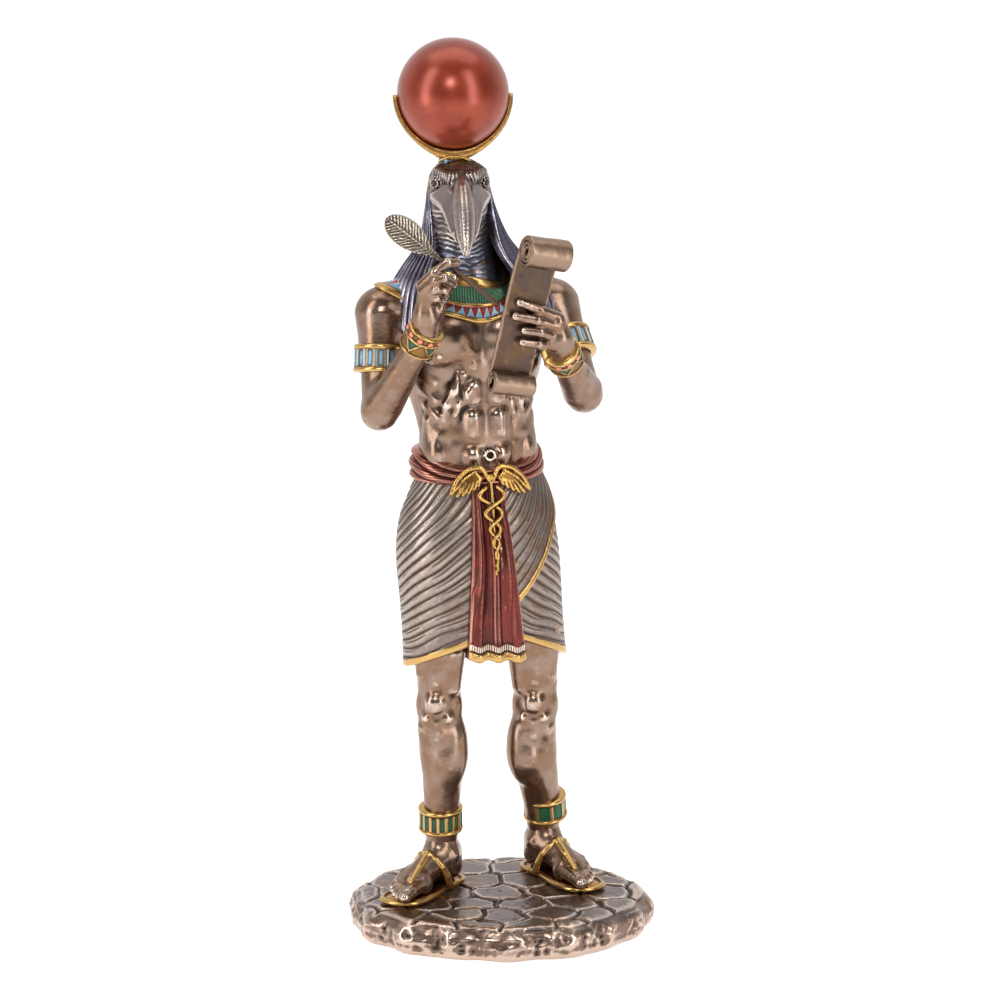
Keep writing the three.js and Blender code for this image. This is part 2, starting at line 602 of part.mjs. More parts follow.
function holdingHand() {
  const { wrist } = ARMS[1];
  return [
    limb(wrist, [17.6, -28.2, 193.6], 4.6, 4.4, 1.5),
    limb([17.8, -28, 192.6], [17.2, -30.6, 199.2], 3.6, 2.4, 1.5),
    limb([17.2, -27.6, 191.6], [15.8, -30.2, 192.6], 3.6, 2.4, 1.5),
    ...finger([[17.6, -30.6, 200.2], [12.1, -33.2, 202.8], [6, -34.8, 205.4]], 1.6),
    ...finger([[17, -31.4, 197.6], [11.2, -34, 200], [4.8, -35.4, 201.4]], 1.65),
    ...finger([[15.9, -31.2, 194.6], [12, -33.6, 196.4], [7.4, -34.4, 197]], 1.55),
    ...finger([[15.6, -30, 191.6], [11.6, -32.8, 192.6], [6.8, -34.2, 193.4]], 1.45),
    ...finger([[16.6, -26.4, 197], [11.4, -26, 201.6], [6.6, -28, 204.2]], 1.7),
  ];
}

// The long bent beak, its root to its tip: [forward, height, half width]
const UPPER_BEAK = [
  [7.5, 239, 2.1], [11.2, 237, 2.5], [14, 234.4, 3.1], [17.2, 230.6, 4.7],
  [20.8, 226.8, 3.6], [24.2, 222.3, 2.4], [26.3, 218.2, 1.2],
];
const LOWER_BEAK = [
  [8, 229, 4], [13.6, 227.4, 3.2], [18, 224, 2.3], [22, 219.8, 1.4],
];
function beak(knots, steps) {
  const curve = new THREE.CatmullRomCurve3(knots.map((k) => new THREE.Vector3(...k)), false, "catmullrom");
  const stations = curve.getPoints(steps);
  return stations.slice(1).map((to, i) => {
    const from = stations[i];
    return limb(head(0, from.x, from.y), head(0, to.x, to.y), from.z, to.z, 0.6);
  });
}
function ibisHead() {
  const shapes = [
    lump(head(0, 0, 234.4), [8.8, 11, 9.6], SKULL, 2),
    limb(head(0, -1, 224), head(0, -1, 232), 8.8, 8.6, 3),
    limb(head(0, 4, 237.4), head(0, 8.6, 235.4), 5.8, 4.8, 2),
    limb(head(0, 7, 228), head(0, 3, 217), 5.6, 6.4, 3),
  ];
  for (const s of SIDES) {
    // Cheek, and the flange at the root of the beak that overhangs the corner of the mouth
    shapes.push(lump(head(5 * s, 4.4, 229), [3.7, 5.4, 5], SKULL, 1.5));
    shapes.push(limb(head(1.2 * s, 14.2, 235.2), head(6 * s, 12.8, 229.8), 1.8, 1.4, 2));
    shapes.push(limb(head(1.8 * s, 11.6, 237.6), head(7.9 * s, 8.4, 230), 1.8, 1.4, 2));
    shapes.push(hollow(limb(head(4.4 * s, 16.4, 226.4), head(9.8 * s, 8, 227.6), 1.8, 1.8, 0.4)));
    // Corner of the crown
    shapes.push(lump(head(4 * s, 2, 237.4), [4.8, 6.5, 4.8], SKULL, 1.5));
    // Eye and brow
    shapes.push(hollow(lump(head(7.9 * s, 6.4, 236.8), [2.2, 2.5, 2.1], SKULL, 0.8)));
    shapes.push(lump(head(7.3 * s, 5.8, 236.7), [1.6, 1.8, 1.5], SKULL, 0.3));
    shapes.push(limb(head(3.4 * s, 9.6, 239), head(6.9 * s, 4.4, 240), 1.5, 1.3, 1));
    shapes.push(lump(head(2.3 * s, 8, 240.3), [2, 2.4, 1.8], SKULL, 1));
  }
  shapes.push(...beak(UPPER_BEAK, 16), ...beak(LOWER_BEAK, 8));
  return shapes;
}

// The wig falls from the crown behind the face and over the shoulders: [height, radius]
const WIG_SIDE = [[190, 27], [204, 24.4], [210, 21], [215, 17.4], [220, 14.7], [228, 12], [236, 9.9], [240, 7.4], [243, 3]];
const WIG_FRONT = [[190, 28.5], [204, 22], [210, 17], [218, 12.5], [228, 10], [236, 8], [243, 2]];
const WIG_BACK = [[186, 19], [200, 18.5], [214, 16], [228, 15], [236, 13], [240, 9.5], [243, 3]];
const WIG_OPENING = [[194, 44], [204, 46], [210, 50], [220, 52], [228, 62], [236, 80], [243, 92]]; // degrees from the front
const WIG_HEM = [[0, 193], [62, 192.5], [80, 197], [98, 203], [130, 192], [180, 187]];
const WIG_TOP = 242.6;
const WIG_RIDGES = 20;
function wigPoint(u, v, inset, ridge) {
  // u runs from the right lappet round the back to the left one, v from the crown to the hem
  const guess = WIG_TOP + (200 - WIG_TOP) * v;
  const opening = along(WIG_OPENING, guess);
  const angle = opening + (360 - 2 * opening) * u;
  const fromFront = Math.min(angle, 360 - angle);
  const z = WIG_TOP + (along(WIG_HEM, fromFront) - WIG_TOP) * v;
  const a = THREE.MathUtils.degToRad(angle);
  const reach = (table) => Math.max(along(table, z) - inset + ridge, 0.5);
  const blend = ease(clamp((240 - z) / 36, 0, 1));
  const middle = lerp(head(0, -1, z), torso(0, 0, z), blend);
  const forward = Math.cos(a) > 0 ? reach(WIG_FRONT) : reach(WIG_BACK);
  return plus(plus(middle, SKULL[0], -Math.sin(a) * reach(WIG_SIDE)), SKULL[1], Math.cos(a) * forward);
}
function wig(rows, columns, depth) {
  const grid = (inset, ridged) =>
    Array.from({ length: rows }, (_, r) =>
      Array.from({ length: columns }, (_, c) => {
        const v = r / (rows - 1);
        const swell = ridged * 0.45 * Math.cos((2 * Math.PI * WIG_RIDGES * c) / (columns - 1)) * Math.min(1, 3 * v);
        return wigPoint(c / (columns - 1), v * 0.985 + 0.015, inset, swell);
      }),
    );
  return slab(grid(0, 1), grid(depth, 0));
}

// Where a ray from inside a body leaves it
function skinAt(shapes, from, way) {
  let p = from;
  for (let i = 0; i < 60; i++) {
    const d = fieldAt(...p, shapes);
    if (d > -0.01) break;
    p = plus(p, way, Math.max(-d, 0.03));
  }
  return p;
}

// The broad collar: a band of the skin between two cones, raised, with a rim at either edge
const COLLAR_FROM = 186; // height of the cones' point
const COLLAR_OUTER = 32; // their slopes in degrees
const COLLAR_INNER = 62;
function collar(body, columns) {
  const slopes = [
    [COLLAR_OUTER, 1.3], [COLLAR_OUTER + 2, 1.3], [COLLAR_OUTER + 3, 0.9],
    [COLLAR_INNER - 13, 0.9], [COLLAR_INNER - 12, 1.3], [COLLAR_INNER, 1.3],
  ];
  const grid = (deep) =>
    slopes.map(([slope, raise]) =>
      Array.from({ length: columns }, (_, c) => {
        const a = (2 * Math.PI * c) / columns;
        const e = THREE.MathUtils.degToRad(slope + 9 * Math.max(Math.sin(a), 0) ** 2 * (slope < 50 ? 1 : 0));
        const flat = plus(TORSO[0].map((x) => x * Math.sin(a)), TORSO[1], Math.cos(a));
        const way = plus(flat.map((x) => x * Math.cos(e)), UP, Math.sin(e));
        return plus(skinAt(body, torso(0, -1, COLLAR_FROM), way), way, deep ? -2.5 : raise);
      }),
    );
  return slab(grid(false), grid(true), true);
}

// The kilt: rows of pleats that rise towards the front panel, cut off by the sash
const KILT_SIDE = [[84, 26.4], [100, 26], [120, 26.1], [132, 24.6], [140, 21.6], [147, 19], [156, 18.2]];
const KILT_DEPTH = [[84, 17.6], [100, 18], [120, 18], [132, 16.8], [140, 15], [147, 13.4], [156, 12.6]];
const KILT_ASIDE = [[84, 0.6], [104, 0], [125, -0.7], [147, 0]]; // towards the figure's left
function kiltPoint(angle, z, swell) {
  const left = Math.sin(angle) * (along(KILT_SIDE, z) + swell) + along(KILT_ASIDE, z);
  const forward = Math.cos(angle) * (along(KILT_DEPTH, z) + swell);
  return torso(left, forward, z);
}
const ring = (columns, pointAt) => Array.from({ length: columns }, (_, c) => pointAt((2 * Math.PI * c) / columns));
const facing = (angle, power) => Math.max(Math.cos(angle), 0) ** power;
const PLEATS = 14;
const KILT_LENGTH = 59; // from the sash to the hem at the back
const HEM_SIDE = 84.5; // height of the hem at the back
const HEM_RISE = 14; // what it rises by at the front panel
const LIFT_FROM = THREE.MathUtils.degToRad(100); // where the cloth starts to rise, from the panel
function lift(angle) {
  const off = Math.PI - Math.abs((angle % (2 * Math.PI)) - Math.PI);
  return Math.max(1 - off / LIFT_FROM, 0) ** 1.5;
}
function pleatHeight(angle, row) {
  // Row 0 is the hem. Rows rise towards the front, the upper ones more steeply.
  return HEM_SIDE + KILT_LENGTH * row + lift(angle) * (HEM_RISE + 20 * row + 60 * row ** 3);
}
function kilt(columns) {
  const rows = Array.from({ length: 2 * PLEATS + 1 }, (_, i) =>
    ring(columns, (a) => kiltPoint(a, pleatHeight(a, (1.1 * i) / (2 * PLEATS)), i % 2 ? 0.45 : -0.35)),
  );
  return loft(rows).intersect(underSash(columns));
}

// The sash, wide at the sides and drawn together in front
const sashHalf = (angle) => 4.7 - 2.3 * facing(angle, 1.5);
const sashMiddle = (angle) => 149.6 - 2.6 * facing(angle, 1.5);
function sash(columns) {
  return loft(
    [[-1, 1.2], [-0.55, 2.6], [0, 2], [0.55, 2.5], [1, 0.6]].map(([t, swell]) =>
      ring(columns, (a) => kiltPoint(a, sashMiddle(a) + t * sashHalf(a), swell)),
    ),
  );
}
// Everything from below the hem up to the sash, to cut cloth with
function underSash(columns) {
  return loft([ring(columns, (a) => kiltPoint(a, 80, 8)), ring(columns, (a) => kiltPoint(a, sashMiddle(a), 8))]);
}

// The outer wrap on the figure's left: its pleats run along its slanting gold edge
const WRAP_EDGE = [[8, 104.8], [14, 107.2], [27, 113.2], [42, 121.2], [55, 128.5], [75, 137], [95, 143], [125, 148]];
const WRAP_PLEATS = 8;
function wrap(columns) {
  const grid = (swell) =>
    Array.from({ length: 2 * WRAP_PLEATS + 1 }, (_, r) =>
      Array.from({ length: columns }, (_, c) => {
        const degrees = 4 + (121 * c) / (columns - 1);
        const z = along(WRAP_EDGE, degrees) + 2.6 * r;
        return kiltPoint(THREE.MathUtils.degToRad(degrees), z, swell + (swell > 0 && r % 2 ? -0.5 : 0.2));
      }),
    );
  return slab(grid(1.5), grid(-1.5)).intersect(underSash(columns));
}

// The narrow panel that hangs from the sash
const PANEL_TOP = 145;
const PANEL_BOTTOM = 89.6;
const PANEL_FOLDS = 3;
function panel(rows, columns) {
  const grid = (thick) =>
    Array.from({ length: rows }, (_, r) =>
      Array.from({ length: columns }, (_, c) => {
        const v = r / (rows - 1);
        const u = c / (columns - 1) - 0.5;
        const wide = 9.4 + 9.2 * v ** 0.9;
        const fold = Math.cos(2 * Math.PI * PANEL_FOLDS * u);
        const z = PANEL_TOP + (PANEL_BOTTOM - PANEL_TOP) * v - v * (0.6 * fold + 1.4 * u);
        const depth = along(KILT_DEPTH, z) + 1.6 + 0.7 * v + 0.55 * fold;
        return torso(-1 + u * wide, thick > 0 ? depth : depth - 3.4, z);
      }),
    );
  return slab(grid(1), grid(-1));
}

// Gold emblem over the sash: a winged staff with two snakes
function emblem() {
  const at = (left, z, out) => torso(-1 + left, along(KILT_DEPTH, z) + 2.4 + out - 0.012 * left * left, z);
  const shapes = [
    limb(at(0.4, 147.5, 1.6), at(0.5, 140, 0.6), 0.8, 0.8, 0.3),
    limb(at(0.5, 140, 0.6), at(0.2, 117.5, 0.2), 0.8, 0.6, 0.3),
    lump(at(0.4, 147.5, 2), [1.2, 1.2, 1.2], TORSO, 0.3),
  ];
  for (const s of SIDES) {
    // A wing: its leading edge, and feathers that fan out from the shoulder
    const lead = [[0.6, 146.6], [2.6, 150.2], [4.9, 150.5], [7.7, 149.5], [10.7, 146.5], [12.4, 143.1]];
    lead.slice(1).forEach(([x, z], i) => {
      shapes.push(limb(at(0.5 + s * lead[i][0], lead[i][1], 1.2), at(0.5 + s * x, z, 1.2), 0.9, 0.8, 0.3));
    });
    for (let i = 0; i < 5; i++) {
      const root = at(0.5 + s * (4.8 - 0.4 * i), 149.2 - 0.6 * i, 1);
      shapes.push(limb(root, at(0.5 + s * (11.8 - 1.9 * i), 142.4 + 0.1 * i * i, 0.7), 0.9, 0.6, 0.3));
    }
    // A snake wound down the staff
    const place = (d) => {
      const turns = 0.16 * d + 0.0032 * d * d;
      const wide = 4 * (1 - d / 26) ** 2;
      return at(0.5 + s * wide * Math.cos(Math.PI * turns), 141.8 - d, 0.7 + 0.25 * s);
    };
    for (let d = -2; d < 20; d++) shapes.push(limb(place(d), place(d + 1), 0.8 - 0.014 * d, 0.8 - 0.014 * d, 0.2));
  }
  return clay(shapes, 0.8, 620);
}

// Raised bands: a rim at either end of a shallow drum
const bandProfile = (inner, outer, height) => [
  [inner, -height / 2], [outer + 0.5, -height / 2], [outer, -height / 2 + 1.6],
  [outer, height / 2 - 1.6], [outer + 0.5, height / 2], [inner, height / 2],
];
function bands() {
  const made = [];
  ARMS.forEach(({ shoulder, elbow, wrist }) => {
    const bone = minus(elbow, shoulder);
    made.push(turned(bandProfile(4, 8, 8.6), lerp(shoulder, elbow, 0.46), bone, 14));
    made.push(turned(bandProfile(3, 5.3, 8.4), lerp(elbow, wrist, 0.93), minus(wrist, elbow), 12));
  });
  LEGS.forEach(({ knee, ankle }) => {
    made.push(turned(bandProfile(3.5, 6.5, 8.2), plus(ankle, [0, 0, 6.5]), minus(knee, ankle), 14));
  });
  return joined(made);
}

// The cast figure, one piece
function figure(cutters) {
  const body = trunk();
  const parts = [
    clay([...body, ...ARMS.flatMap(arm)], 1.9, 1400),
    ...LEGS.map((l, i) => clay(leg(l, SIDES[i]), 1.8, 320)),
    ...LEGS.map((l, i) => clay(foot(l, SIDES[i]), 1, 380)),
    ...LEGS.map((l, i) => sole(l, SIDES[i])),
    clay(writingHand(), 0.9, 400),
    clay(holdingHand(), 0.9, 400),
    clay(ibisHead(), 1.1, 520),
    wig(8, 2 * WIG_RIDGES + 1, 9),
    collar([...body, ...ARMS.flatMap(arm)], 30),
    kilt(22),
    sash(22),
    wrap(13),
    panel(5, 13),
    emblem(),
    bands(),
  ];
  const whole = cutters.reduce((solid, cutter) => solid.subtract(cutter), joined(parts));
  return lightened(whole, FIGURE_TRIANGLES);
}

// The moon's ball, the crescent that holds it and the crescent's foot on the crown
const CROWN = head(-1.7, 0.5, 242);
const MOON = plus(CROWN, UP, STAND_HEIGHT + HORN_DEPTH + MOON_RADIUS);
function moon() {
  return new THREE.SphereGeometry(MOON_RADIUS, 26, 14).rotateX(Math.PI / 2);
}
// A boat that hugs the ball: its stations run from one tip under the ball to the other
function horns() {
  const reach = THREE.MathUtils.degToRad(90);
  const stations = 18;
  const rings = Array.from({ length: stations + 1 }, (_, i) => {
    const phi = reach * ((2 * i) / stations - 1);
    const share = Math.max(Math.cos(phi), 0);
    const outer = MOON_RADIUS + HORN_TIP + (HORN_DEPTH - HORN_TIP) * share ** 9;
    const half = HORN_TIP * 1.1 + (HORN_THICKNESS / 2 - HORN_TIP * 1.1) * share ** 0.8;
    const section = [
      [half, MOON_RADIUS - 1.5], [half, outer - 0.5], [half * 0.8, outer],
      [-half * 0.8, outer], [-half, outer - 0.5], [-half, MOON_RADIUS - 1.5],
    ];
    return section.map(([across, r]) => [Math.sin(phi) * r, across, -Math.cos(phi) * r]);
  });
  return loft(rings).rotate(0, -THREE.MathUtils.radToDeg(HORN_TILT), 0);
}
function crescent() {
  const low = -MOON_RADIUS - HORN_DEPTH;
  const profile = [
    [0, -STAND_HEIGHT - 2.2], [5.4, -STAND_HEIGHT - 2.2], [4.4, -0.2], [4.4, 0.8], [4.9, 1.2], [4.9, 1.8], [0, 1.8],
  ];
  const foot = new THREE.LatheGeometry(profile.map(([r, h]) => new THREE.Vector2(r, low + h)), 18).rotateX(Math.PI / 2);
  const ball = new THREE.SphereGeometry(MOON_RADIUS + CLEARANCE, 24, 14).rotateX(Math.PI / 2);
  const made = horns().add(solidOf(foot)).subtract(solidOf(ball));
  const turn = new THREE.Matrix4().makeRotationZ(HEAD_TURN).setPosition(...MOON);
  return made.transform(turn.elements);
}

// The scroll is a strip along its own section: a roll, the sheet and a roll, both on the viewer's side
function scrollSection(grow) {
  const path = [];
  const turn = (centre, radius, from, to, steps, shrink) => {
    for (let i = 0; i <= steps; i++) {
      const t = i / steps;
      const a = from + (to - from) * t;
      const r = radius - shrink * (from < to ? t : 1 - t);
      path.push(new THREE.Vector2(centre.x + Math.cos(a) * r, centre.y + Math.sin(a) * r));
    }
  };
  const half = SCROLL_LENGTH / 2;
  const top = { x: SCROLL_CURL + SCROLL_TOP_ROLL - SCROLL_SHEET / 2, y: half };
  const low = { x: SCROLL_BOTTOM_ROLL - SCROLL_SHEET / 2, y: -half };
  const inner = { top: SCROLL_TOP_ROLL - SCROLL_SHEET / 2, low: SCROLL_BOTTOM_ROLL - SCROLL_SHEET / 2 };
  turn(top, inner.top, -Math.PI * 0.62, Math.PI, 14, 0);
  for (const t of [0.75, 0.5, 0.25, 0, -0.5]) {
    path.push(new THREE.Vector2(1.1 * Math.cos((Math.PI / 2) * t) + SCROLL_CURL * Math.max(t, 0) ** 2, half * t));
  }
  turn(low, inner.low, Math.PI, Math.PI * 2.6, 12, 0);
  const wall = SCROLL_SHEET / 2 + grow;
  const sides = [1, -1].map((s) =>
    path.map((p, i) => {
      const ahead = path[Math.min(i + 1, path.length - 1)];
      const behind = path[Math.max(i - 1, 0)];
      const d = ahead.clone().sub(behind).normalize();
      return new THREE.Vector2(p.x - d.y * wall * s, p.y + d.x * wall * s);
    }),
  );
  return new THREE.Shape([...sides[0], ...sides[1].reverse()]);
}
const SCROLL_MIDDLE = [6.4, -31, 201];
const SCROLL_LEAN = THREE.MathUtils.degToRad(10);
const SCROLL_TIP = THREE.MathUtils.degToRad(6);
const SCROLL_TURN = THREE.MathUtils.degToRad(25.5);
function scroll(grow = 0) {
  const geometry = new THREE.ExtrudeGeometry(scrollSection(grow), {
    depth: SCROLL_WIDTH + 2 * grow,
    bevelEnabled: false,
    steps: 1,
  });
  // The section's x faces the viewer, its y is the sheet's length and the extrusion is its width
  geometry.translate(0, 0, -SCROLL_WIDTH / 2 - grow);
  const place = new THREE.Matrix4()
    .makeRotationFromEuler(new THREE.Euler(SCROLL_TIP, SCROLL_LEAN, SCROLL_TURN, "ZYX"))
    .multiply(new THREE.Matrix4().makeBasis(new THREE.Vector3(0, -1, 0), new THREE.Vector3(0, 0, 1), new THREE.Vector3(-1, 0, 0)));
  place.setPosition(...SCROLL_MIDDLE);
  return geometry.applyMatrix4(place);
}

// The quill: a tapered shaft through the fingers and a feather with its vane in two halves
const QUILL_TIP = [0, -28.8, 203.6];
const QUILL_BUTT = [-33.8, -20, 228.4];
function quill(grow = 0) {
  const path = minus(QUILL_BUTT, QUILL_TIP);
  const long = size(path);
  const stations = [0, 2, 8, long - QUILL_FEATHER_LENGTH];
  for (const t of [0.12, 0.3, 0.5, 0.7, 0.86, 0.96, 1]) stations.push(long - QUILL_FEATHER_LENGTH * (1 - t));
  const rings = stations.map((along, i) => {
    const t = clamp(1 - (long - along) / QUILL_FEATHER_LENGTH, 0, 1);
    const swelling = 0.1 + 0.9 * ease(clamp((t + 0.05) / 0.67, 0, 1));
    const vane = t > 0 ? swelling * Math.sqrt(Math.max(1 - (Math.max(t - 0.6, 0) / 0.4) ** 2.2, 0)) : 0;
    const shaft = QUILL_SHAFT * (i === 0 ? 0.4 : 1) * (t > 0.9 ? 0.6 : 1);
    const wide = Math.max(shaft, (QUILL_FEATHER_WIDTH / 2) * vane) + grow;
    return ring(8, (a) => [Math.cos(a) * wide, Math.sin(a) * (shaft + grow), along]);
  });
  const z = new THREE.Vector3(...unit(path));
  const y = new THREE.Vector3(0.15, -1, 0.2).cross(z).cross(z).negate().normalize();
  const basis = new THREE.Matrix4().makeBasis(new THREE.Vector3().crossVectors(y, z), y, z);
  return loft(rings).transform(basis.setPosition(...QUILL_TIP).elements);
}

// The base: an oval of rough rock paved with flat stones
function seeded(seed) {
  let state = seed;
  return () => {
    state = (state * 16807) % 2147483647;
    return state / 2147483647;
  };
}
const RIM_POINTS = 48;
function rim(angle, share, rough) {
  const chips = Math.sin(11 * angle) + 1.2 * Math.sin(17 * angle + 2);
  const wobble = 1 + 0.012 * Math.sin(5 * angle + 1) + 0.01 * rough * chips;
  return [
    (BASE_WIDTH / 2 / 1.03) * share * wobble * Math.cos(angle),
    (BASE_DEPTH / 2 / 1.03) * share * wobble * Math.sin(angle),
  ];
}
function rock() {
  const top = BASE_HEIGHT - PAVING_RELIEF;
  const levels = [[0, 0.955], [0.12, 0.985], [0.45, 1], [0.72, 0.99], [0.9, 0.955], [1, 0.925]];
  const rings = levels.map(([h, share], i) =>
    Array.from({ length: RIM_POINTS }, (_, c) => {
      const angle = (2 * Math.PI * c) / RIM_POINTS;
      const [x, y] = rim(angle, share, i > 0 && i < 5 ? 1 : 0.4);
      return [x, y, top * h];
    }),
  );
  return loft(rings);
}
// Cells of a jittered grid of seeds, each cut out of the oval by the lines midway to its neighbours
function pavingStones() {
  const random = seeded(7);
  const seeds = [];
  const pitch = 13.5;
  for (let row = -3; row <= 3; row++)
    for (let column = -4; column <= 4; column++) {
      const x = (column + (row % 2 ? 0.5 : 0) + (random() - 0.5) * 0.5) * pitch * 1.12;
      const y = (row + (random() - 0.5) * 0.4) * pitch * 0.82;
      seeds.push([x, y]);
    }
  const inside = ([x, y], share) => Math.hypot(x / (BASE_WIDTH / 2), y / (BASE_DEPTH / 2)) < share;
  const edge = Array.from({ length: 36 }, (_, c) => rim((2 * Math.PI * c) / 36, 0.925, 0.4));
  const stones = [];
  for (const seed of seeds.filter((s) => inside(s, 0.93))) {
    let cell = edge;
    for (const other of seeds) {
      if (other === seed) continue;
      const way = [other[0] - seed[0], other[1] - seed[1]];
      const far = Math.hypot(...way);
      const limit = far / 2 - PAVING_JOINT / 2;
      const side = (p) => ((p[0] - seed[0]) * way[0] + (p[1] - seed[1]) * way[1]) / far - limit;
      const kept = [];
      cell.forEach((p, i) => {
        const q = cell[(i + 1) % cell.length];
        const [dp, dq] = [side(p), side(q)];
        if (dp <= 0) kept.push(p);
        if (dp * dq < 0) kept.push([0, 1].map((k) => p[k] + ((q[k] - p[k]) * dp) / (dp - dq)));
      });
      cell = kept;
      if (cell.length < 3) break;
    }
    if (cell.length < 3) continue;
    const middle = [0, 1].map((k) => cell.reduce((s, p) => s + p[k], 0) / cell.length);
    const ring = (share, z) => cell.map((p) => [middle[0] + (p[0] - middle[0]) * share, middle[1] + (p[1] - middle[1]) * share, z]);
    stones.push(loft([ring(1, BASE_HEIGHT - PAVING_RELIEF - 1), ring(1, BASE_HEIGHT - 0.35), ring(0.86, BASE_HEIGHT)]));
  }
  return stones;
}
function base() {
  return lightened(joined([rock(), ...pavingStones()]), BASE_TRIANGLES);
}

// Assembly
const MATERIALS = {
  bronze: new THREE.MeshStandardMaterial({ color: 0x8a6d59, roughness: 0.38, metalness: 0.85 }),
  stone: new THREE.MeshStandardMaterial({ color: 0x5a463c, roughness: 0.55, metalness: 0.6 }),
  moon: new THREE.MeshStandardMaterial({ color: 0x9c4528, roughness: 0.25, metalness: 0.6 }),
  gold: new THREE.MeshStandardMaterial({ color: 0xb8863b, roughness: 0.35, metalness: 0.9 }),
  scroll: new THREE.MeshStandardMaterial({ color: 0x7f695a, roughness: 0.4, metalness: 0.8 }),
  quill: new THREE.MeshStandardMaterial({ color: 0x7d7468, roughness: 0.42, metalness: 0.8 }),
};
function geometryOf(solid) {
  const mesh = solid.getMesh();
  const geometry = new THREE.BufferGeometry();
  geometry.setAttribute("position", new THREE.BufferAttribute(Float32Array.from(mesh.vertProperties), 3));
  geometry.setIndex(new THREE.BufferAttribute(Uint32Array.from(mesh.triVerts), 1));
  return geometry;
}
function piece(name, geometry, material) {
  const mesh = new THREE.Mesh(geometry, material);
  mesh.name = name;
  return mesh;
}

const headdress = crescent();
const cutters = [
  solidOf(scroll(CLEARANCE)),
  quill(CLEARANCE),
];
const footRoom = new THREE.LatheGeometry(
  [[0, -3], [5.4 + CLEARANCE, -3], [5.4 + CLEARANCE, 8], [0, 8]].map(([r, h]) => new THREE.Vector2(r, h)),
  18,
).rotateX(Math.PI / 2).translate(CROWN[0], CROWN[1], CROWN[2] - 2.2 + 3 - CLEARANCE);
cutters.push(solidOf(footRoom));

const drawn = new THREE.Group();
drawn.add(
  piece("figure", geometryOf(figure(cutters)), MATERIALS.bronze),
  piece("crescent", geometryOf(headdress), MATERIALS.gold),
  piece("scroll", geometryOf(solidOf(scroll())), MATERIALS.scroll),
  piece("quill", geometryOf(quill()), MATERIALS.quill),
);
const ball = piece("moon", moon(), MATERIALS.moon);
ball.position.set(...MOON);
drawn.add(ball);
drawn.scale.setScalar(SCALE);
drawn.position.z = BASE_HEIGHT + CLEARANCE - DRAWN_SOLE * SCALE;

const part = new THREE.Group();
part.add(drawn, piece("stone_base", geometryOf(base()), MATERIALS.stone));
export default part;
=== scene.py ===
# The looks of the ibis-headed scribe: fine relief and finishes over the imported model.
# Lengths are in millimetres until a mesh is made. +Z is up, the front faces -Y.
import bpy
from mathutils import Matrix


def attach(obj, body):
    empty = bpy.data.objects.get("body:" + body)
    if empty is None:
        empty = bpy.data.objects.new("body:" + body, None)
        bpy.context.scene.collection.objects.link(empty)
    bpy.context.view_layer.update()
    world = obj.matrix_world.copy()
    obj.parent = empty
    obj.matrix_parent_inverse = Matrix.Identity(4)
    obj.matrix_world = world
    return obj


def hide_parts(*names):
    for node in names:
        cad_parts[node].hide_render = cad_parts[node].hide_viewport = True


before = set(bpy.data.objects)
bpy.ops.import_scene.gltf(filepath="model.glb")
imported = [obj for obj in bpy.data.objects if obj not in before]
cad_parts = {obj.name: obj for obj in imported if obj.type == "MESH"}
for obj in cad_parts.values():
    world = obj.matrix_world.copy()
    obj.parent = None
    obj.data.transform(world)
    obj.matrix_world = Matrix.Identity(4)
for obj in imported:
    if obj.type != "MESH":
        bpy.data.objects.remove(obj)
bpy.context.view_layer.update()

import math

import bpy
import numpy as np
from mathutils import Vector

MM = 0.001
COARSE = 1.4

# Sizes, as in the model
BASE_WIDTH = 100
BASE_DEPTH = 76
BASE_HEIGHT = 10.7
PAVING_RELIEF = 0.9
PAVING_JOINT = 1.1
PAVING_PITCH = 13.5
MOON_RADIUS = 17
HORN_THICKNESS = 11.6
HORN_DEPTH = 2.8
HORN_TIP = 1.2
HORN_TILT = math.radians(0.5)
STAND_HEIGHT = 1.3
SCROLL_WIDTH = 13.6
SCROLL_LENGTH = 41
SCROLL_CURL = 3
SCROLL_SHEET = 1.1
SCROLL_TOP_ROLL = 4.7
SCROLL_BOTTOM_ROLL = 3.4
QUILL_SHAFT = 0.8
QUILL_FEATHER_LENGTH = 20
QUILL_FEATHER_WIDTH = 8.8
SOLE_TOP = 12.6
SOLE_BOTTOM = 11

TORSO_TURN = math.radians(17)
HEAD_TURN = math.radians(5.5)
LEAN = -0.035
PELVIS = (-6.4, 7.0, 120.0)
HEAD = (-12.6, 4.5)
UP = np.array([0.0, 0.0, 1.0])
SIDES = (-1, 1)  # the figure's right, then its left


# Vectors and tables
def circle(count):
    """Angles once round, without a second one at the start."""
    return np.arange(count) / count * 2 * math.pi


def level_way(angle):
    return np.stack([np.cos(angle), np.sin(angle), 0 * angle], -1)


def lattice(*steps):
    return np.meshgrid(*steps, indexing="ij")


def vec(*xyz):
    return np.array(xyz, float)


def unit(a):
    return a / np.linalg.norm(a)


def ease(t):
    return t * t * (3 - 2 * t)


def step(low, high, t):
    return ease(np.clip((t - low) / (high - low), 0, 1))


def axes_of(turn):
    return np.array([
        [math.cos(turn), math.sin(turn), 0],
        [math.sin(turn), -math.cos(turn), 0],
        [0, 0, 1],
    ])


TORSO = axes_of(TORSO_TURN)
SKULL = axes_of(HEAD_TURN)


def placed(x, y, z, axes, left, forward):
    left, forward, z, x = np.broadcast_arrays(left, forward, z, x)
    return np.stack([
        x + axes[0][0] * left + axes[1][0] * forward,
        y + axes[0][1] * left + axes[1][1] * forward,
        z + 0.0 * x,
    ], axis=-1)


def torso(left, forward, z):
    z = np.asarray(z, float)
    return placed(PELVIS[0] + LEAN * (z - PELVIS[2]), PELVIS[1], z, TORSO, left, forward)


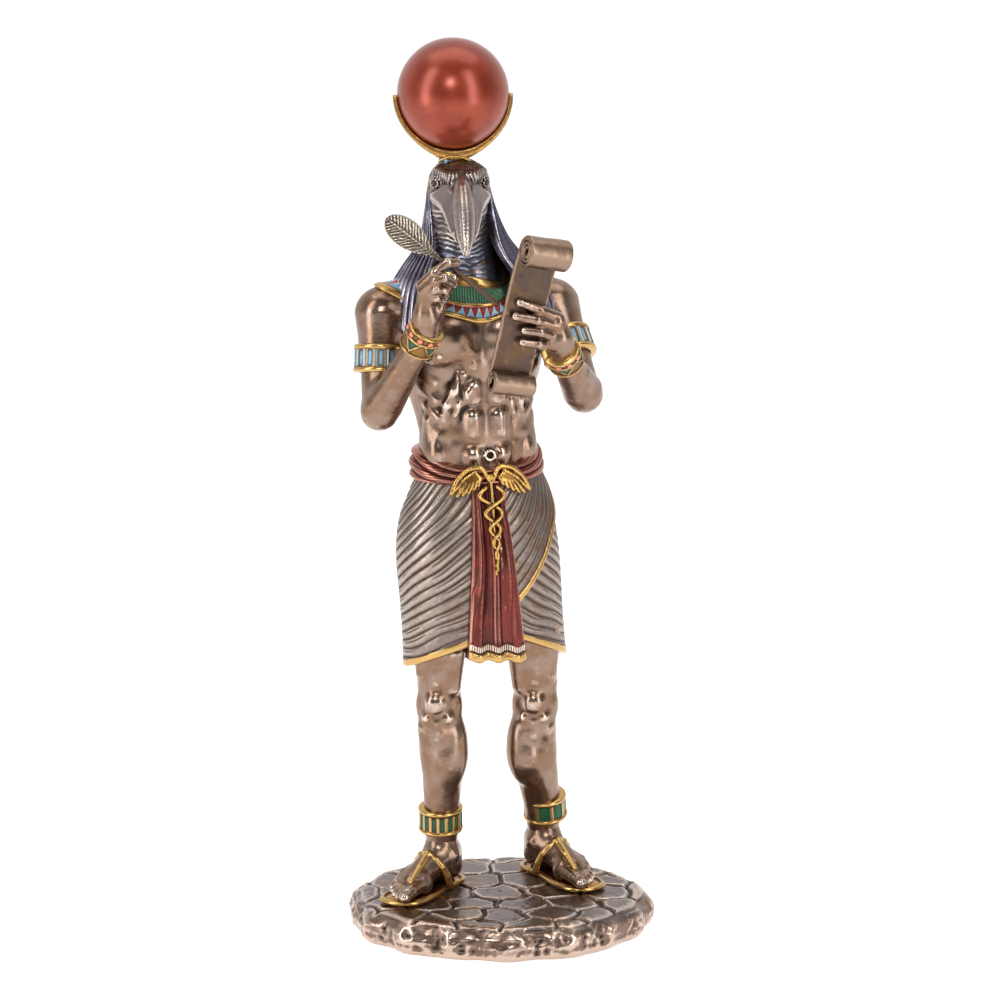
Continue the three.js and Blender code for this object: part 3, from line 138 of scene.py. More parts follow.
def head(left, forward, z):
    return placed(HEAD[0], HEAD[1], np.asarray(z, float), SKULL, left, forward)


def along(table, t):
    """A value that runs smoothly through (at, value) pairs."""
    at, value = np.array(table, float).T
    slope = np.empty(len(at))
    slope[1:-1] = (value[2:] - value[:-2]) / (at[2:] - at[:-2])
    slope[0] = (value[1] - value[0]) / (at[1] - at[0])
    slope[-1] = (value[-1] - value[-2]) / (at[-1] - at[-2])
    t = np.clip(t, at[0], at[-1])
    i = np.clip(np.searchsorted(at, t, side="right") - 1, 0, len(at) - 2)
    wide = at[i + 1] - at[i]
    u = (t - at[i]) / wide
    bow = wide * u * (1 - u) * (slope[i] * (1 - u) - slope[i + 1] * u)
    return value[i] + (value[i + 1] - value[i]) * ease(u) + bow


def curve(knots, steps):
    """A smooth line through knots, with that many stations from each to the next."""
    k = np.array(knots, float)
    k = np.vstack([2 * k[0] - k[1], k, 2 * k[-1] - k[-2]])
    t = np.arange(steps)[:, None] / steps
    stations = []
    for a, b, c, d in zip(k, k[1:], k[2:], k[3:]):
        stations.append(0.5 * (2 * b + (c - a) * t + (2 * a - 5 * b + 4 * c - d) * t * t
                               + (3 * b - a - 3 * c + d) * t ** 3))
    return np.vstack([*stations, k[-2:-1]])


def noise(points, scale, seed=0):
    """Smooth noise from 0 to 1 whose lumps are about scale mm across."""
    q = np.asarray(points) / scale + 1000
    i = np.floor(q).astype(np.int64)
    f = ease(q - i)
    total = 0
    for corner in range(8):
        d = np.array([corner & 1, corner >> 1 & 1, corner >> 2])
        n = (i + d) * np.array([73856093, 19349663, 83492791])
        n = (n[..., 0] ^ n[..., 1] ^ n[..., 2]) + seed * 7919
        n = (n ^ (n >> 13)) * 1274126177 & 0xFFFFFF
        n = (n ^ (n >> 11)) * 668265263 >> 3 & 0xFFFF
        w = np.where(d, f, 1 - f)
        total = total + w[..., 0] * w[..., 1] * w[..., 2] * n
    return total / 65535


def flat_noise(u, v, seed):
    return noise(np.stack([u, v, u * 0], -1), 1.0, seed)


# Clay: lumps melted together over a width of blend mm, as in the model
def limb(a, b, ra, rb, blend=1.5):
    a = np.array(a, float)
    span = np.array(b, float) - a
    return dict(a=a, span=span, ra=ra, rb=rb, blend=blend, away=False, long=max(span @ span, 1e-6))


def lump(centre, radii, axes, blend=1.5):
    radii = np.array(radii, float)
    turn = (axes / radii[:, None]).T
    return dict(centre=np.array(centre, float), turn=turn, radii=radii, blend=blend, away=False)


def hollow(shape):
    return {**shape, "away": True}


def chain(points, radii, blend=0.5):
    """Limbs through a row of points. One radius, or one for each point."""
    radii = np.broadcast_to(radii, len(points))
    return [
        limb(points[i], points[i + 1], radii[i], radii[i + 1], blend)
        for i in range(len(points) - 1)
    ]


def distance(p, s):
    if "centre" in s:
        q = (p - s["centre"]) @ s["turn"]
        near = np.sqrt(np.einsum("ij,ij->i", q, q))
        q = q / s["radii"]
        return near * (near - 1) / (np.sqrt(np.einsum("ij,ij->i", q, q)) + 1e-9)
    v = p - s["a"]
    t = np.clip(v @ s["span"] / s["long"], 0, 1)
    v = v - t[:, None] * s["span"]
    return np.sqrt(np.einsum("ij,ij->i", v, v)) - s["ra"] - (s["rb"] - s["ra"]) * t


def melt(a, b, width):
    near = np.maximum(width - np.abs(a - b), 0)
    return np.minimum(a, b) - near * near * (0.25 / width)


def field(p, shapes):
    d = np.full(len(p), 1e3)
    for s in shapes:
        own = distance(p, s)
        d = -melt(-d, own, s["blend"]) if s["away"] else melt(d, own, s["blend"])
    return d


BLOCK = 8


def surface(shapes, cell):
    """The closed surface of clay as points and quads, on a grid of cells (surface nets)."""
    cell = cell * COARSE
    solid = [s for s in shapes if not s["away"]]
    ends = [(s["centre"], max(s["radii"])) for s in solid if "centre" in s]
    for s in solid:
        if "a" in s:
            ends += [(s["a"], s["ra"]), (s["a"] + s["span"], s["rb"])]
    low = np.min([p - r for p, r in ends], axis=0) - 2 * cell
    high = np.max([p + r for p, r in ends], axis=0) + 2 * cell
    blocks = np.ceil((high - low) / cell / BLOCK).astype(int)
    values = np.full(blocks * BLOCK + 1, 1e3, np.float32)
    reach = BLOCK * cell * math.sqrt(3) / 2
    places = np.stack(lattice(*map(np.arange, blocks)), -1).reshape(-1, 3)
    centres = low + (places + 0.5) * BLOCK * cell
    apart = np.array([distance(centres, s) for s in shapes])
    whole = field(centres, shapes)
    grid = np.stack(lattice(*[np.arange(BLOCK + 1)] * 3), -1).reshape(-1, 3) * cell
    for n in np.nonzero(whole < 2 * reach + 1)[0]:
        i, j, k = places[n] * BLOCK
        part = values[i:i + BLOCK + 1, j:j + BLOCK + 1, k:k + BLOCK + 1]
        if whole[n] < -2 * reach - 1:
            part[...] = -1e3
            continue
        mine = [s for s, d in zip(shapes, apart[:, n]) if d < s["blend"] + 2.5 * reach + 1]
        part[...] = field(low + (i, j, k) * np.array(cell) + grid, mine).reshape(part.shape)
    return netted(values, low, cell)


def netted(values, low, cell):
    inside = values < 0
    count = sum(
        inside[i:i - 1 or None, j:j - 1 or None, k:k - 1 or None].astype(np.int8)
        for i in (0, 1) for j in (0, 1) for k in (0, 1)
    )
    cells = np.argwhere((count > 0) & (count < 8))
    number = np.full(count.shape, -1, np.int64)
    number[tuple(cells.T)] = np.arange(len(cells))
    total = np.zeros((len(cells), 3))
    crossings = np.zeros(len(cells))
    for axis in range(3):
        for corner in range(4):
            start = np.zeros(3, int)
            start[(axis + 1) % 3] = corner & 1
            start[(axis + 2) % 3] = corner >> 1
            end = start.copy()
            end[axis] = 1
            a = values[tuple((cells + start).T)]
            b = values[tuple((cells + end).T)]
            crossed = (a < 0) != (b < 0)
            t = np.where(crossed, a / np.where(crossed, a - b, 1), 0)
            point = np.tile(start.astype(float), (len(cells), 1))
            point[:, axis] = t
            total += point * crossed[:, None]
            crossings += crossed
    points = low + (cells + total / crossings[:, None]) * cell
    faces = []
    for axis in range(3):
        u, v = (axis + 1) % 3, (axis + 2) % 3
        a = np.moveaxis(inside, axis, 0)[:-1]
        b = np.moveaxis(inside, axis, 0)[1:]
        edge = np.moveaxis(a != b, 0, axis)
        where = np.argwhere(edge)
        where = where[(where[:, u] > 0) & (where[:, v] > 0)]
        where = where[(where[:, u] < number.shape[u]) & (where[:, v] < number.shape[v])]
        corners = []
        for du, dv in ((1, 1), (0, 1), (0, 0), (1, 0)):
            at = where.copy()
            at[:, u] -= du
            at[:, v] -= dv
            corners.append(number[tuple(at.T)])
        quads = np.stack(corners, -1)
        outward = inside[tuple(where.T)]
        faces.append(quads[outward])
        faces.append(quads[~outward][:, ::-1])
    faces = np.concatenate(faces)
    return points, faces[(faces >= 0).all(axis=1)]


def trimmed(points, faces, kept):
    """Only the faces whose corners are all kept."""
    faces = faces[kept[faces].all(axis=1)]
    used = np.unique(faces)
    renumber = np.full(len(points), -1)
    renumber[used] = np.arange(len(used))
    return points[used], renumber[faces]


def sheet(points, wraps=False, flip=False):
    """Points in rows and columns as points and quads."""
    rows, columns = points.shape[:2]
    r, c = lattice(np.arange(rows - 1), np.arange(columns if wraps else columns - 1))
    d = (c + 1) % columns
    faces = np.stack([r * columns + c, r * columns + d, (r + 1) * columns + d, (r + 1) * columns + c], -1)
    faces = faces.reshape(-1, 4)
    return points.reshape(-1, 3), faces[:, ::-1] if flip else faces


def joined(*parts):
    points = np.concatenate([p for p, _ in parts])
    shift = np.cumsum([0] + [len(p) for p, _ in parts[:-1]])
    return points, np.concatenate([f + s for (_, f), s in zip(parts, shift)])


def normals_of(points, faces):
    a, b = points[faces[:, 2]] - points[faces[:, 0]], points[faces[:, 3]] - points[faces[:, 1]]
    flat = np.cross(a, b)
    normals = np.empty_like(points)
    for k in range(3):
        normals[:, k] = np.bincount(faces.ravel(), np.repeat(flat[:, k], 4), len(points))
    return normals / (np.linalg.norm(normals, axis=1, keepdims=True) + 1e-12)


def height_over(points, faces, normals, passes):
    """How far each point stands over the surface smoothed by that many passes."""
    a = faces.ravel()
    b = np.roll(faces, -1, axis=1).ravel()
    n = len(points)
    count = np.maximum(np.bincount(a, minlength=n) + np.bincount(b, minlength=n), 1)
    smooth = points
    for _ in range(passes):
        total = np.empty_like(smooth)
        for k in range(3):
            total[:, k] = np.bincount(a, smooth[b, k], n) + np.bincount(b, smooth[a, k], n)
        smooth = total / count[:, None]
    return ((points - smooth) * normals).sum(axis=1)


def worn(points, faces, fine=0.05, broad=0.3, cell=0.4):
    """0 in the recesses, 1 on the crests, from relief at two scales."""
    normals = normals_of(points, faces)
    small = height_over(points, faces, normals, 4)
    large = height_over(points, faces, normals, int(min(70, (2.2 / cell) ** 2)))
    return np.clip(0.5 + 0.25 * small / fine + 0.25 * large / broad, 0, 1)


# Pieces
def piece(name, points, faces, materials, node="figure", paint=None, tint=None, wear=None):
    """A mesh that replaces a node of the model."""
    mesh = bpy.data.meshes.new(name)
    mesh.from_pydata((points * MM).tolist(), [], faces.tolist())
    mesh.shade_smooth()
    if paint is not None:
        mesh.polygons.foreach_set("material_index", np.asarray(paint, np.int32))
    wear = worn(points, faces) if wear is None else wear
    for key, values in (("worn", wear), ("tint", tint)):
        if values is not None:
            mesh.attributes.new(key, "FLOAT", "POINT").data.foreach_set("value", values.astype(np.float32))
    for material in materials:
        mesh.materials.append(material)
    mesh.update()
    obj = bpy.data.objects.new(name, mesh)
    bpy.context.scene.collection.objects.link(obj)
    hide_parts(node)
    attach(obj, "root")


# Materials
def node_of(tree, kind, **values):
    node = tree.nodes.new(kind)
    for key, value in values.items():
        if key.startswith("in_"):
            socket = node.inputs[int(key[3:])] if key[3:].isdigit() else node.inputs[key[3:]]
            if isinstance(value, bpy.types.NodeSocket):
                tree.links.new(value, socket)
            else:
                socket.default_value = value
        else:
            setattr(node, key, value)
    return node


def ramp(tree, factor, stops):
    node = tree.nodes.new("ShaderNodeValToRGB")
    tree.links.new(factor, node.inputs[0])
    elements = node.color_ramp.elements
    while len(elements) < len(stops):
        elements.new(0.5)
    for element, (at, colour) in zip(elements, stops):
        element.position = at
        element.color = (*colour, 1) if len(colour) == 3 else colour
    return node.outputs[0]


def level(value):
    return (value, value, value)


def linear(r, g, b):
    """A colour given as it is read off a screen, 0 to 255."""
    return tuple(((c / 255 + 0.055) / 1.055) ** 2.4 if c > 10 else c / 255 / 12.92 for c in (r, g, b))


def cast(name, *colours, rough=(0.6, 0.36, 0.24), metal=(0.5, 0.9, 1.0), blotch=None, tinted=None,
         grain=0.35, coat=0.0):
    """A painted and buffed casting. colours are those of its recesses, middle and crests, as read off a
    screen, and the attribute worn picks between them. blotch is a second middle colour in soft patches,
    and tinted are the three colours where the attribute tint is 1."""
    material = bpy.data.materials.new(name)
    material.use_nodes = True
    tree = material.node_tree
    shader = tree.nodes["Principled BSDF"]
    wear = node_of(tree, "ShaderNodeAttribute", attribute_name="worn").outputs["Fac"]
    where = node_of(tree, "ShaderNodeTexCoord").outputs["Object"]
    fleck = node_of(tree, "ShaderNodeTexNoise", in_Vector=where, in_Scale=900.0, in_Detail=4.0,
                    in_Roughness=0.65).outputs["Fac"]
    broken = node_of(tree, "ShaderNodeMath", operation="MULTIPLY_ADD", in_0=fleck, in_1=0.34, in_2=-0.17)
    height = node_of(tree, "ShaderNodeMath", operation="ADD", in_0=wear, in_1=broken.outputs[0]).outputs[0]

    def shaded(recess, middle, crest):
        recess, middle, crest = linear(*recess), linear(*middle), linear(*crest)
        return ramp(tree, height, [(0.1, recess), (0.36, middle), (0.66, middle), (0.96, crest)])

    def mixed(share, one, other):
        return node_of(tree, "ShaderNodeMix", data_type="RGBA", in_0=share, in_6=one, in_7=other).outputs[2]

    colour = shaded(*colours)
    if blotch:
        patches = node_of(tree, "ShaderNodeTexNoise", in_Vector=where, in_Scale=160.0, in_Detail=3.0)
        share = ramp(tree, patches.outputs["Fac"], [(0.42, level(0)), (0.6, level(1))])
        colour = mixed(share, colour, shaded(colours[0], blotch, colours[2]))
    if tinted:
        tint = node_of(tree, "ShaderNodeAttribute", attribute_name="tint").outputs["Fac"]
        colour = mixed(tint, colour, shaded(*tinted))
    tree.links.new(colour, shader.inputs["Base Color"])
    for socket, values in (("Roughness", rough), ("Metallic", metal)):
        stops = [(at, level(value)) for at, value in zip((0.2, 0.5, 0.85), values)]
        tree.links.new(ramp(tree, height, stops), shader.inputs[socket])
    pits = node_of(tree, "ShaderNodeTexNoise", in_Vector=where, in_Scale=1400.0, in_Detail=3.0)
    bump = node_of(tree, "ShaderNodeBump", in_Strength=grain, in_Distance=0.00012,
                   in_Height=pits.outputs["Fac"])
    tree.links.new(bump.outputs[0], shader.inputs["Normal"])
    if coat:
        shader.inputs["Coat Weight"].default_value = coat
        shader.inputs["Coat Roughness"].default_value = 0.22
    return material


BRONZE = cast("bronze_skin", (40, 27, 21), (138, 115, 101), (212, 194, 178),
              blotch=(126, 98, 79), rough=(0.4, 0.27, 0.2), metal=(0.7, 0.95, 1.0))
GOLD = cast("antique_gold", (50, 32, 18), (136, 100, 54), (188, 152, 94),
            blotch=(122, 84, 44), rough=(0.5, 0.34, 0.26))
DEEP_GOLD = cast("deep_gold", (28, 17, 9), (112, 78, 36), (184, 146, 82),
                 blotch=(96, 62, 26), rough=(0.5, 0.34, 0.26))
CLOTH = cast("silver_cloth", (34, 25, 22), (108, 95, 88), (164, 151, 142),
             blotch=(106, 82, 69), rough=(0.62, 0.44, 0.34))
RED = cast("red_wash", (36, 16, 14), (112, 50, 44), (178, 124, 108),
           blotch=(92, 46, 40), rough=(0.55, 0.36, 0.28))
HAIR = cast("violet_hair", (14, 12, 18), (70, 65, 78), (160, 154, 166),
            blotch=(56, 52, 68), rough=(0.5, 0.34, 0.26))
PLUMAGE = cast("head_plumage", (30, 22, 20), (104, 90, 84), (184, 168, 158),
               blotch=(92, 84, 86), tinted=((18, 20, 28), (74, 80, 98), (170, 176, 192)))
BILL = cast("bill_horn", (50, 40, 37), (132, 118, 112), (200, 186, 174),
            blotch=(120, 108, 108), rough=(0.45, 0.3, 0.25), metal=(0.4, 0.75, 0.9),
            tinted=((50, 36, 28), (126, 102, 88), (196, 170, 148)))
EYE = cast("eye", (8, 6, 6), (14, 10, 10), (26, 20, 20), rough=(0.3, 0.25, 0.2),
           metal=(0.0, 0.0, 0.1))
GREEN = cast("green_enamel", (10, 26, 16), (26, 84, 52), (100, 148, 114),
             blotch=(20, 68, 42), rough=(0.45, 0.3, 0.22), metal=(0.1, 0.25, 0.5))
BLUE = cast("blue_enamel", (40, 70, 92), (104, 150, 182), (186, 210, 222),
            blotch=(118, 164, 192), rough=(0.5, 0.36, 0.3), metal=(0.05, 0.15, 0.3))
SCARLET = cast("red_enamel", (74, 20, 14), (160, 50, 36), (220, 128, 100),
               blotch=(142, 42, 32), rough=(0.45, 0.3, 0.22), metal=(0.1, 0.2, 0.4))
STONE = cast("paving_bronze", (36, 25, 21), (128, 106, 94), (196, 172, 156),
             blotch=(112, 92, 80), rough=(0.46, 0.3, 0.24),
             tinted=((34, 26, 25), (112, 99, 96), (184, 170, 162)))
SCROLL = cast("scroll_bronze", (32, 23, 19), (82, 66, 57), (140, 116, 98),
              blotch=(96, 73, 54), rough=(0.5, 0.4, 0.33))
QUILL = cast("quill_bronze", (34, 29, 25), (118, 110, 100), (190, 180, 164),
             blotch=(104, 92, 80))
PALE = cast("pale_enamel", (110, 128, 138), (172, 192, 202), (222, 230, 234),
            blotch=(148, 178, 194), rough=(0.5, 0.4, 0.32), metal=(0.05, 0.1, 0.3))
TEAL = cast("teal_bronze", (18, 20, 24), (54, 66, 72), (126, 140, 144), blotch=(46, 54, 64))
MOON_RED = cast("moon_copper", (120, 40, 16), (138, 50, 22), (160, 66, 32),
                blotch=(126, 42, 18), rough=(0.34, 0.3, 0.28), metal=(0.5, 0.5, 0.5), grain=0.1, coat=0.25)
OLD_GOLD = cast("old_gold", (44, 28, 16), (122, 86, 44), (190, 146, 84),
                blotch=(104, 68, 36), rough=(0.5, 0.38, 0.3))
SOLE = cast("sandal_top", (36, 24, 18), (104, 72, 48), (190, 140, 90))

# Places on the body
LEGS = [
    dict(hip=torso(-11.5, 0, 118), knee=vec(-19.2, 0.2, 73),
         ankle=vec(-18.9, 5.2, 27), toes=vec(-0.6, -0.8, 0)),
    dict(hip=torso(11, 0, 118), knee=vec(11.2, 8.5, 71),
         ankle=vec(14.4, 18.4, 27), toes=vec(0.61, -0.79, 0)),
]
ARMS = [
    dict(shoulder=torso(-28, 0, 196.5), elbow=vec(-36.8, -8, 167.5), wrist=vec(-22.4, -23, 194.6)),
    dict(shoulder=torso(26.5, 0, 196.5), elbow=vec(25.8, -1.5, 171.8), wrist=vec(18.4, -24.4, 188.8)),
]
# The edges of the rib cage: left, forward, height and radius from the breastbone down and out
RIB_EDGE = [(7.2, 12.2, 178.4, 1.5), (9.4, 11.4, 174, 1.7), (11.3, 10.1, 169.4, 1.5), (12.4, 8.8, 164.4, 1)]
INNER_EDGE = [(3.2, 12.3, 175.6, 1.3), (5.6, 12, 173, 1.3), (7.8, 11.4, 169.6, 1.1), (9.2, 10.6, 166, 0.8)]
BELLY_ROWS = [(181.6, 3.8), (173, 5.2), (163, 5.8)]  # height of the middle, and half the height of a block
BELLY_GROOVES = (177.8, 168.4, 157.4)
NAVEL = (0.7, 13.3, 153.4)
NAVEL_RADIUS = 1.5


def trunk():
    shapes = [
        lump(torso(0, 0, 136), [21.5, 14, 20], TORSO, 4),
        lump(torso(0, 0.5, 157), [17.6, 12, 24], TORSO, 4),
        lump(torso(0, -0.5, 182), [22, 13.2, 21], TORSO, 4),
        limb(torso(-19, -1, 196.5), torso(19, -1, 196.5), 9, 9, 4),
        limb(torso(0, 0, 198), head(0, -1, 222), 11.4, 8.6, 4),
    ]
    for s in SIDES:
        # Back and flanks
        shapes += [
            limb(torso(18 * s, -4, 192), torso(13 * s, -3, 163), 7.4, 4.6, 3),
            limb(torso(5 * s, -2, 206.5), torso(24 * s, -2, 201), 4.6, 4, 4),
            lump(torso(10 * s, -9, 190), [8, 5, 11], TORSO, 2),
            limb(torso(4.5 * s, -9.4, 182), torso(4.5 * s, -9, 150), 4, 3.6, 1.5),
            lump(torso(14 * s, 3, 153.5), [4.4, 7, 8], TORSO, 2.5),
        ]
        # Chest: broad and flat, with a hanging lower edge
        shapes += [
            lump(torso(10 * s, 7.4, 190.4), [11.6, 7.6, 9], TORSO, 0.9),
            lump(torso(12.4 * s, 7.6, 185), [6.6, 6, 4.6], TORSO, 0.9),
            lump(torso(6 * s, 9, 186), [6, 5.2, 4.6], TORSO, 1.4),
            limb(torso(14 * s, 7.6, 191), torso(23 * s, 2.5, 195), 6.2, 5, 2),
            lump(torso(14.2 * s, 13.1, 185), [0.9, 0.9, 0.9], TORSO, 0.4),
        ]
        # Muscles over the ribs
        for i in range(4):
            z = 177.4 - 5.4 * i
            rear = torso((17 - 0.8 * i) * s, 4.4, z + 2)
            shapes.append(limb(rear, torso((14 - 0.3 * i) * s, 7.4, z - 1.4), 2.6, 1.9, 1.6))
        for edge, blend in ((RIB_EDGE, 1.1), (INNER_EDGE, 1.6)):
            shapes += chain([torso(x * s, y, z) for x, y, z, _ in edge], [r for *_, r in edge], blend)
        # Belly: tall blocks side by side, the outer ones narrower and a little lower
        for z, tall in BELLY_ROWS:
            low, high = z - tall, z + tall
            shapes += [
                limb(torso(0.5 + 4 * s, 9.7, low + 3.6), torso(0.5 + 4 * s, 9.7, high - 3.6), 3.6, 3.6, 1),
                limb(torso(10.4 * s, 7, low + 2.4), torso(10.4 * s, 7, high - 4.8), 3.4, 3.4, 1.3),
            ]
        shapes.append(limb(torso(0.4 + 4.2 * s, 9.8, 153.2), torso(3 * s, 8.8, 145), 4, 4, 1.2))
        for z in BELLY_GROOVES:
            groove = limb(torso(0.5 + 0.8 * s, 14.3, z), torso(0.5 + 7 * s, 13.2, z - 0.6), 0.7, 0.6, 1)
            shapes.append(hollow(groove))
        shapes.append(hollow(limb(torso(7.4 * s, 13, 181), torso(7.2 * s, 12.7, 158), 0.7, 0.7, 1)))
        # Flanks
        for x, y, top, low in ((9.6, 8.4, 156, 150), (15.4, 4.4, 164, 154)):
            shapes.append(limb(torso(x * s, y, top), torso(x * s, y, low), 2.2, 2.2, 1.6))
    shapes += [
        hollow(limb(torso(0.5, 14.6, 183), torso(0.5, 14.5, 162), 0.6, 0.55, 0.5)),
        hollow(limb(torso(0.6, 14.8, 162), torso(0.7, 14.4, 154), 0.6, 2.7, 0.6)),
        hollow(limb(torso(0, 15.4, 198), torso(0, 15, 182), 0.8, 0.9, 1.4)),
        hollow(limb(torso(0, -15.6, 198), torso(0, -13.4, 146), 1.8, 1.6, 2)),
    ]
    # The navel is a raised ring
    left, forward, z = NAVEL
    around = [
        torso(left + NAVEL_RADIUS * math.cos(a), forward, z + NAVEL_RADIUS * math.sin(a))
        for a in np.linspace(0, 2 * math.pi, 13)
    ]
    shapes += chain(around, 0.6, 0.25)
    shapes.append(hollow(lump(torso(left, forward + 0.7, z), [1, 2.4, 1], TORSO, 0.3)))
    return shapes


def arm(shoulder, elbow, wrist):
    bone = unit(elbow - shoulder)
    hinge = unit(np.cross(wrist - elbow, bone))
    forward = np.cross(bone, hinge)

    def upper(t, off):
        return shoulder + (elbow - shoulder) * t + forward * off

    def fore(t, off):
        return elbow + (wrist - elbow) * t + hinge * off

    return [
        limb(shoulder, upper(0.34, 0), 8.6, 6.4, 3),
        limb(shoulder, elbow, 7.2, 5.3, 2),
        limb(upper(0.42, 2.4), upper(0.74, 2), 4.8, 4.4, 1.4),
        limb(upper(0.3, -2.4), upper(0.72, -1.6), 4.8, 4.3, 1.4),
        limb(elbow, wrist, 5.5, 3.9, 2),
        limb(fore(0.1, 1.7), fore(0.45, 1.2), 4.6, 3.9, 1.2),
        limb(fore(0.1, -1.7), fore(0.5, -1), 4.4, 3.6, 1.2),
        lump(elbow - forward * 3, [3.2, 3.2, 3.2], TORSO, 2),
    ]


def outward_of(way, side):
    """The level direction square to a way, away from the body."""
    return vec(-way[1] * side, way[0] * side, 0)


def leg(hip, knee, ankle, toes, side):
    """The calf and shin turn with the toes, but the knee and thigh face the front."""
    out = outward_of(toes, side)
    ahead = unit(vec(-0.1, -1, 0))
    aside = outward_of(ahead, side)

    def at(base, forward, outward, up):
        return base + toes * forward + out * outward + UP * up

    def front(base, forward, outward, up):
        return base + ahead * forward + aside * outward + UP * up

    return [
        limb(hip, front(knee, -1, 0, 8), 10.6, 6.6, 3),
        limb(front(knee, -1, 0, 4), front(knee, -0.6, 0, -8), 6.4, 6.2, 3),
        # Thigh: a drop over the inside of the knee, a longer muscle outside and one down the middle
        limb(front(knee, 2.4, -3.6, 6), front(knee, 2.6, -3.4, 17), 3.7, 5.4, 1.3),
        limb(front(knee, 2.2, 3.4, 10), front(knee, 2, 3.2, 24), 3.6, 5, 1.3),
        limb(front(knee, 4, 0.2, 8.5), front(knee, 3.8, 0.4, 24), 3, 5.2, 1.2),
        lump(front(knee, 0, -4.6, -1), [2.8, 3, 4.6], TORSO, 2),
        lump(front(knee, 0, 4.4, -1), [2.8, 3, 4.6], TORSO, 2),
        # Kneecap, the pads beside it and the tendon under it
        lump(front(knee, 4.2, 0.2, 1), [4, 3.4, 4.4], TORSO, 1.2),
        lump(front(knee, 4, -2.7, -4), [2.4, 2.2, 2.2], TORSO, 1.2),
        lump(front(knee, 4, 2.6, -4), [2.4, 2.2, 2.2], TORSO, 1.2),
        limb(front(knee, 4.4, 0, -5.4), front(knee, 4.2, -0.2, -10), 2.2, 2, 1.2),
        limb(at(knee, -0.4, 0, -4), at(ankle, 0, 0, 4), 5.6, 4.6, 2),
        limb(at(ankle, 0, 0, 4), at(ankle, 0, 0, -4), 4.6, 4.6, 3),
        # Shin and the muscle beside it
        limb(front(knee, 3.4, -0.8, -9), front(ankle, 2.4, -0.4, 8), 2.9, 2.3, 1.4),
        limb(front(knee, 1.8, 3, -8), front(ankle, 1.2, 1.6, 12), 3.6, 2.6, 1.3),
        # Calf
        lump(at(knee, -1.8, -3, -14.5), [5.7, 5.7, 12.6], TORSO, 1.6),
        lump(at(knee, -1.9, 2.9, -13.6), [5.4, 5.4, 12], TORSO, 1.6),
        limb(at(knee, -1, -1.6, -18), at(ankle, 0, -0.4, 8), 5.8, 4.4, 3),
        limb(at(knee, -3.4, 0, -22), at(ankle, -2.6, 0, -4), 3.2, 2.4, 4),
    ]


def foot_frame(ankle, toes, side):
    out = outward_of(toes, side)

    def at(forward, outward, up):
        return vec(ankle[0], ankle[1], SOLE_TOP + up) + toes * forward + out * outward

    return at


def foot(at):
    shapes = [
        limb(at(0, 0, 16), at(-0.5, 0, 9), 4.6, 5, 2),
        limb(at(-3.5, 0, 4.4), at(-4.2, 0, 9), 4.7, 4, 3),
        limb(at(0, 0, 8.5), at(15, -0.6, 3.6), 5.4, 3.8, 3),
        limb(at(-3, 0.6, 3.8), at(13, 2.6, 2.8), 4, 3.2, 2.5),
        limb(at(13.5, -3, 3), at(14.5, 3.4, 2.6), 3.5, 3, 2),
        lump(at(-0.5, -4.6, 9), [2, 2.2, 2.4], TORSO, 1.4),
        lump(at(-1.5, 4.7, 8), [2, 2.2, 2.4], TORSO, 1.4),
    ]
    for i in range(5):
        sideways = -4.4 + 2.5 * i - (0 if i else 0.3)
        reach = 24.4 - 0.3 * i - 0.36 * i * i
        radius = 1.5 - 0.06 * i if i else 2.1
        middle = at(reach - 3, sideways, 2.9)
        shapes += [
            limb(at(14, sideways * 0.8, 3.2), middle, radius + 0.3, radius * 0.95, 0.4),
            limb(middle, at(reach, sideways, radius - 0.1), radius, radius * 0.92, 0.3),
            limb(at(4, sideways * 0.5, 8), at(14, sideways * 0.8, 5.9), 0.7, 0.6, 1.2),
        ]
        nail = lump(at(reach + 0.4, sideways, 1.9 * radius), [0.66 * radius, 0.9, 0.55], TORSO, 0.2)
        crease = lump(at(reach - 3.2, sideways, 3.2 + radius), [radius, 0.25, 0.5], TORSO, 0.4)
        shapes += [hollow(nail), hollow(crease)]
    return shapes


def straps(at):
    top = at(7.2, -0.6, 10.6)
    return [
        limb(at(18.8, -2.6, 4.8), at(13, -1.8, 8.1), 0.8, 1.1, 0.3),
        limb(at(13, -1.8, 8.1), top, 1.1, 1.25, 0.3),
        *chain([top, at(6.6, 2.7, 9.7), at(5.8, 4.8, 7.4), at(4, 5.5, 3.8), at(2, 5.4, 0.4)], 1.15, 0.3),
        *chain([top, at(6.8, -3.4, 9.3), at(6, -5.2, 7), at(4.2, -5.7, 3.6), at(2.5, -5.6, 0.4)], 1.15, 0.3),
        lump(top + UP * 0.2, [1.7, 1.7, 1.3], TORSO, 0.5),
    ]


def sole_outline(count):
    """Heel to toe along +Y, the inside of the foot on -X."""
    knots = [
        (0, -9.4), (6.4, -9.4), (6.2, -2), (5.2, 3), (6.8, 9), (8.2, 14), (7.6, 19),
        (6.6, 25.4), (-0.5, 27), (-4.4, 25.4), (-8.4, 23), (-7.4, 13), (-5.6, 6),
        (-5, 1), (-6.8, -9.4), (0, -9.4),
    ]
    knots = np.array(knots, float)
    points = []
    for i in range(0, 15, 3):
        t = np.arange(count)[:, None] / count
        a, b, c, d = knots[i:i + 4]
        points.append(a * (1 - t) ** 3 + 3 * b * t * (1 - t) ** 2 + 3 * c * t * t * (1 - t) + d * t ** 3)
    return np.concatenate(points)


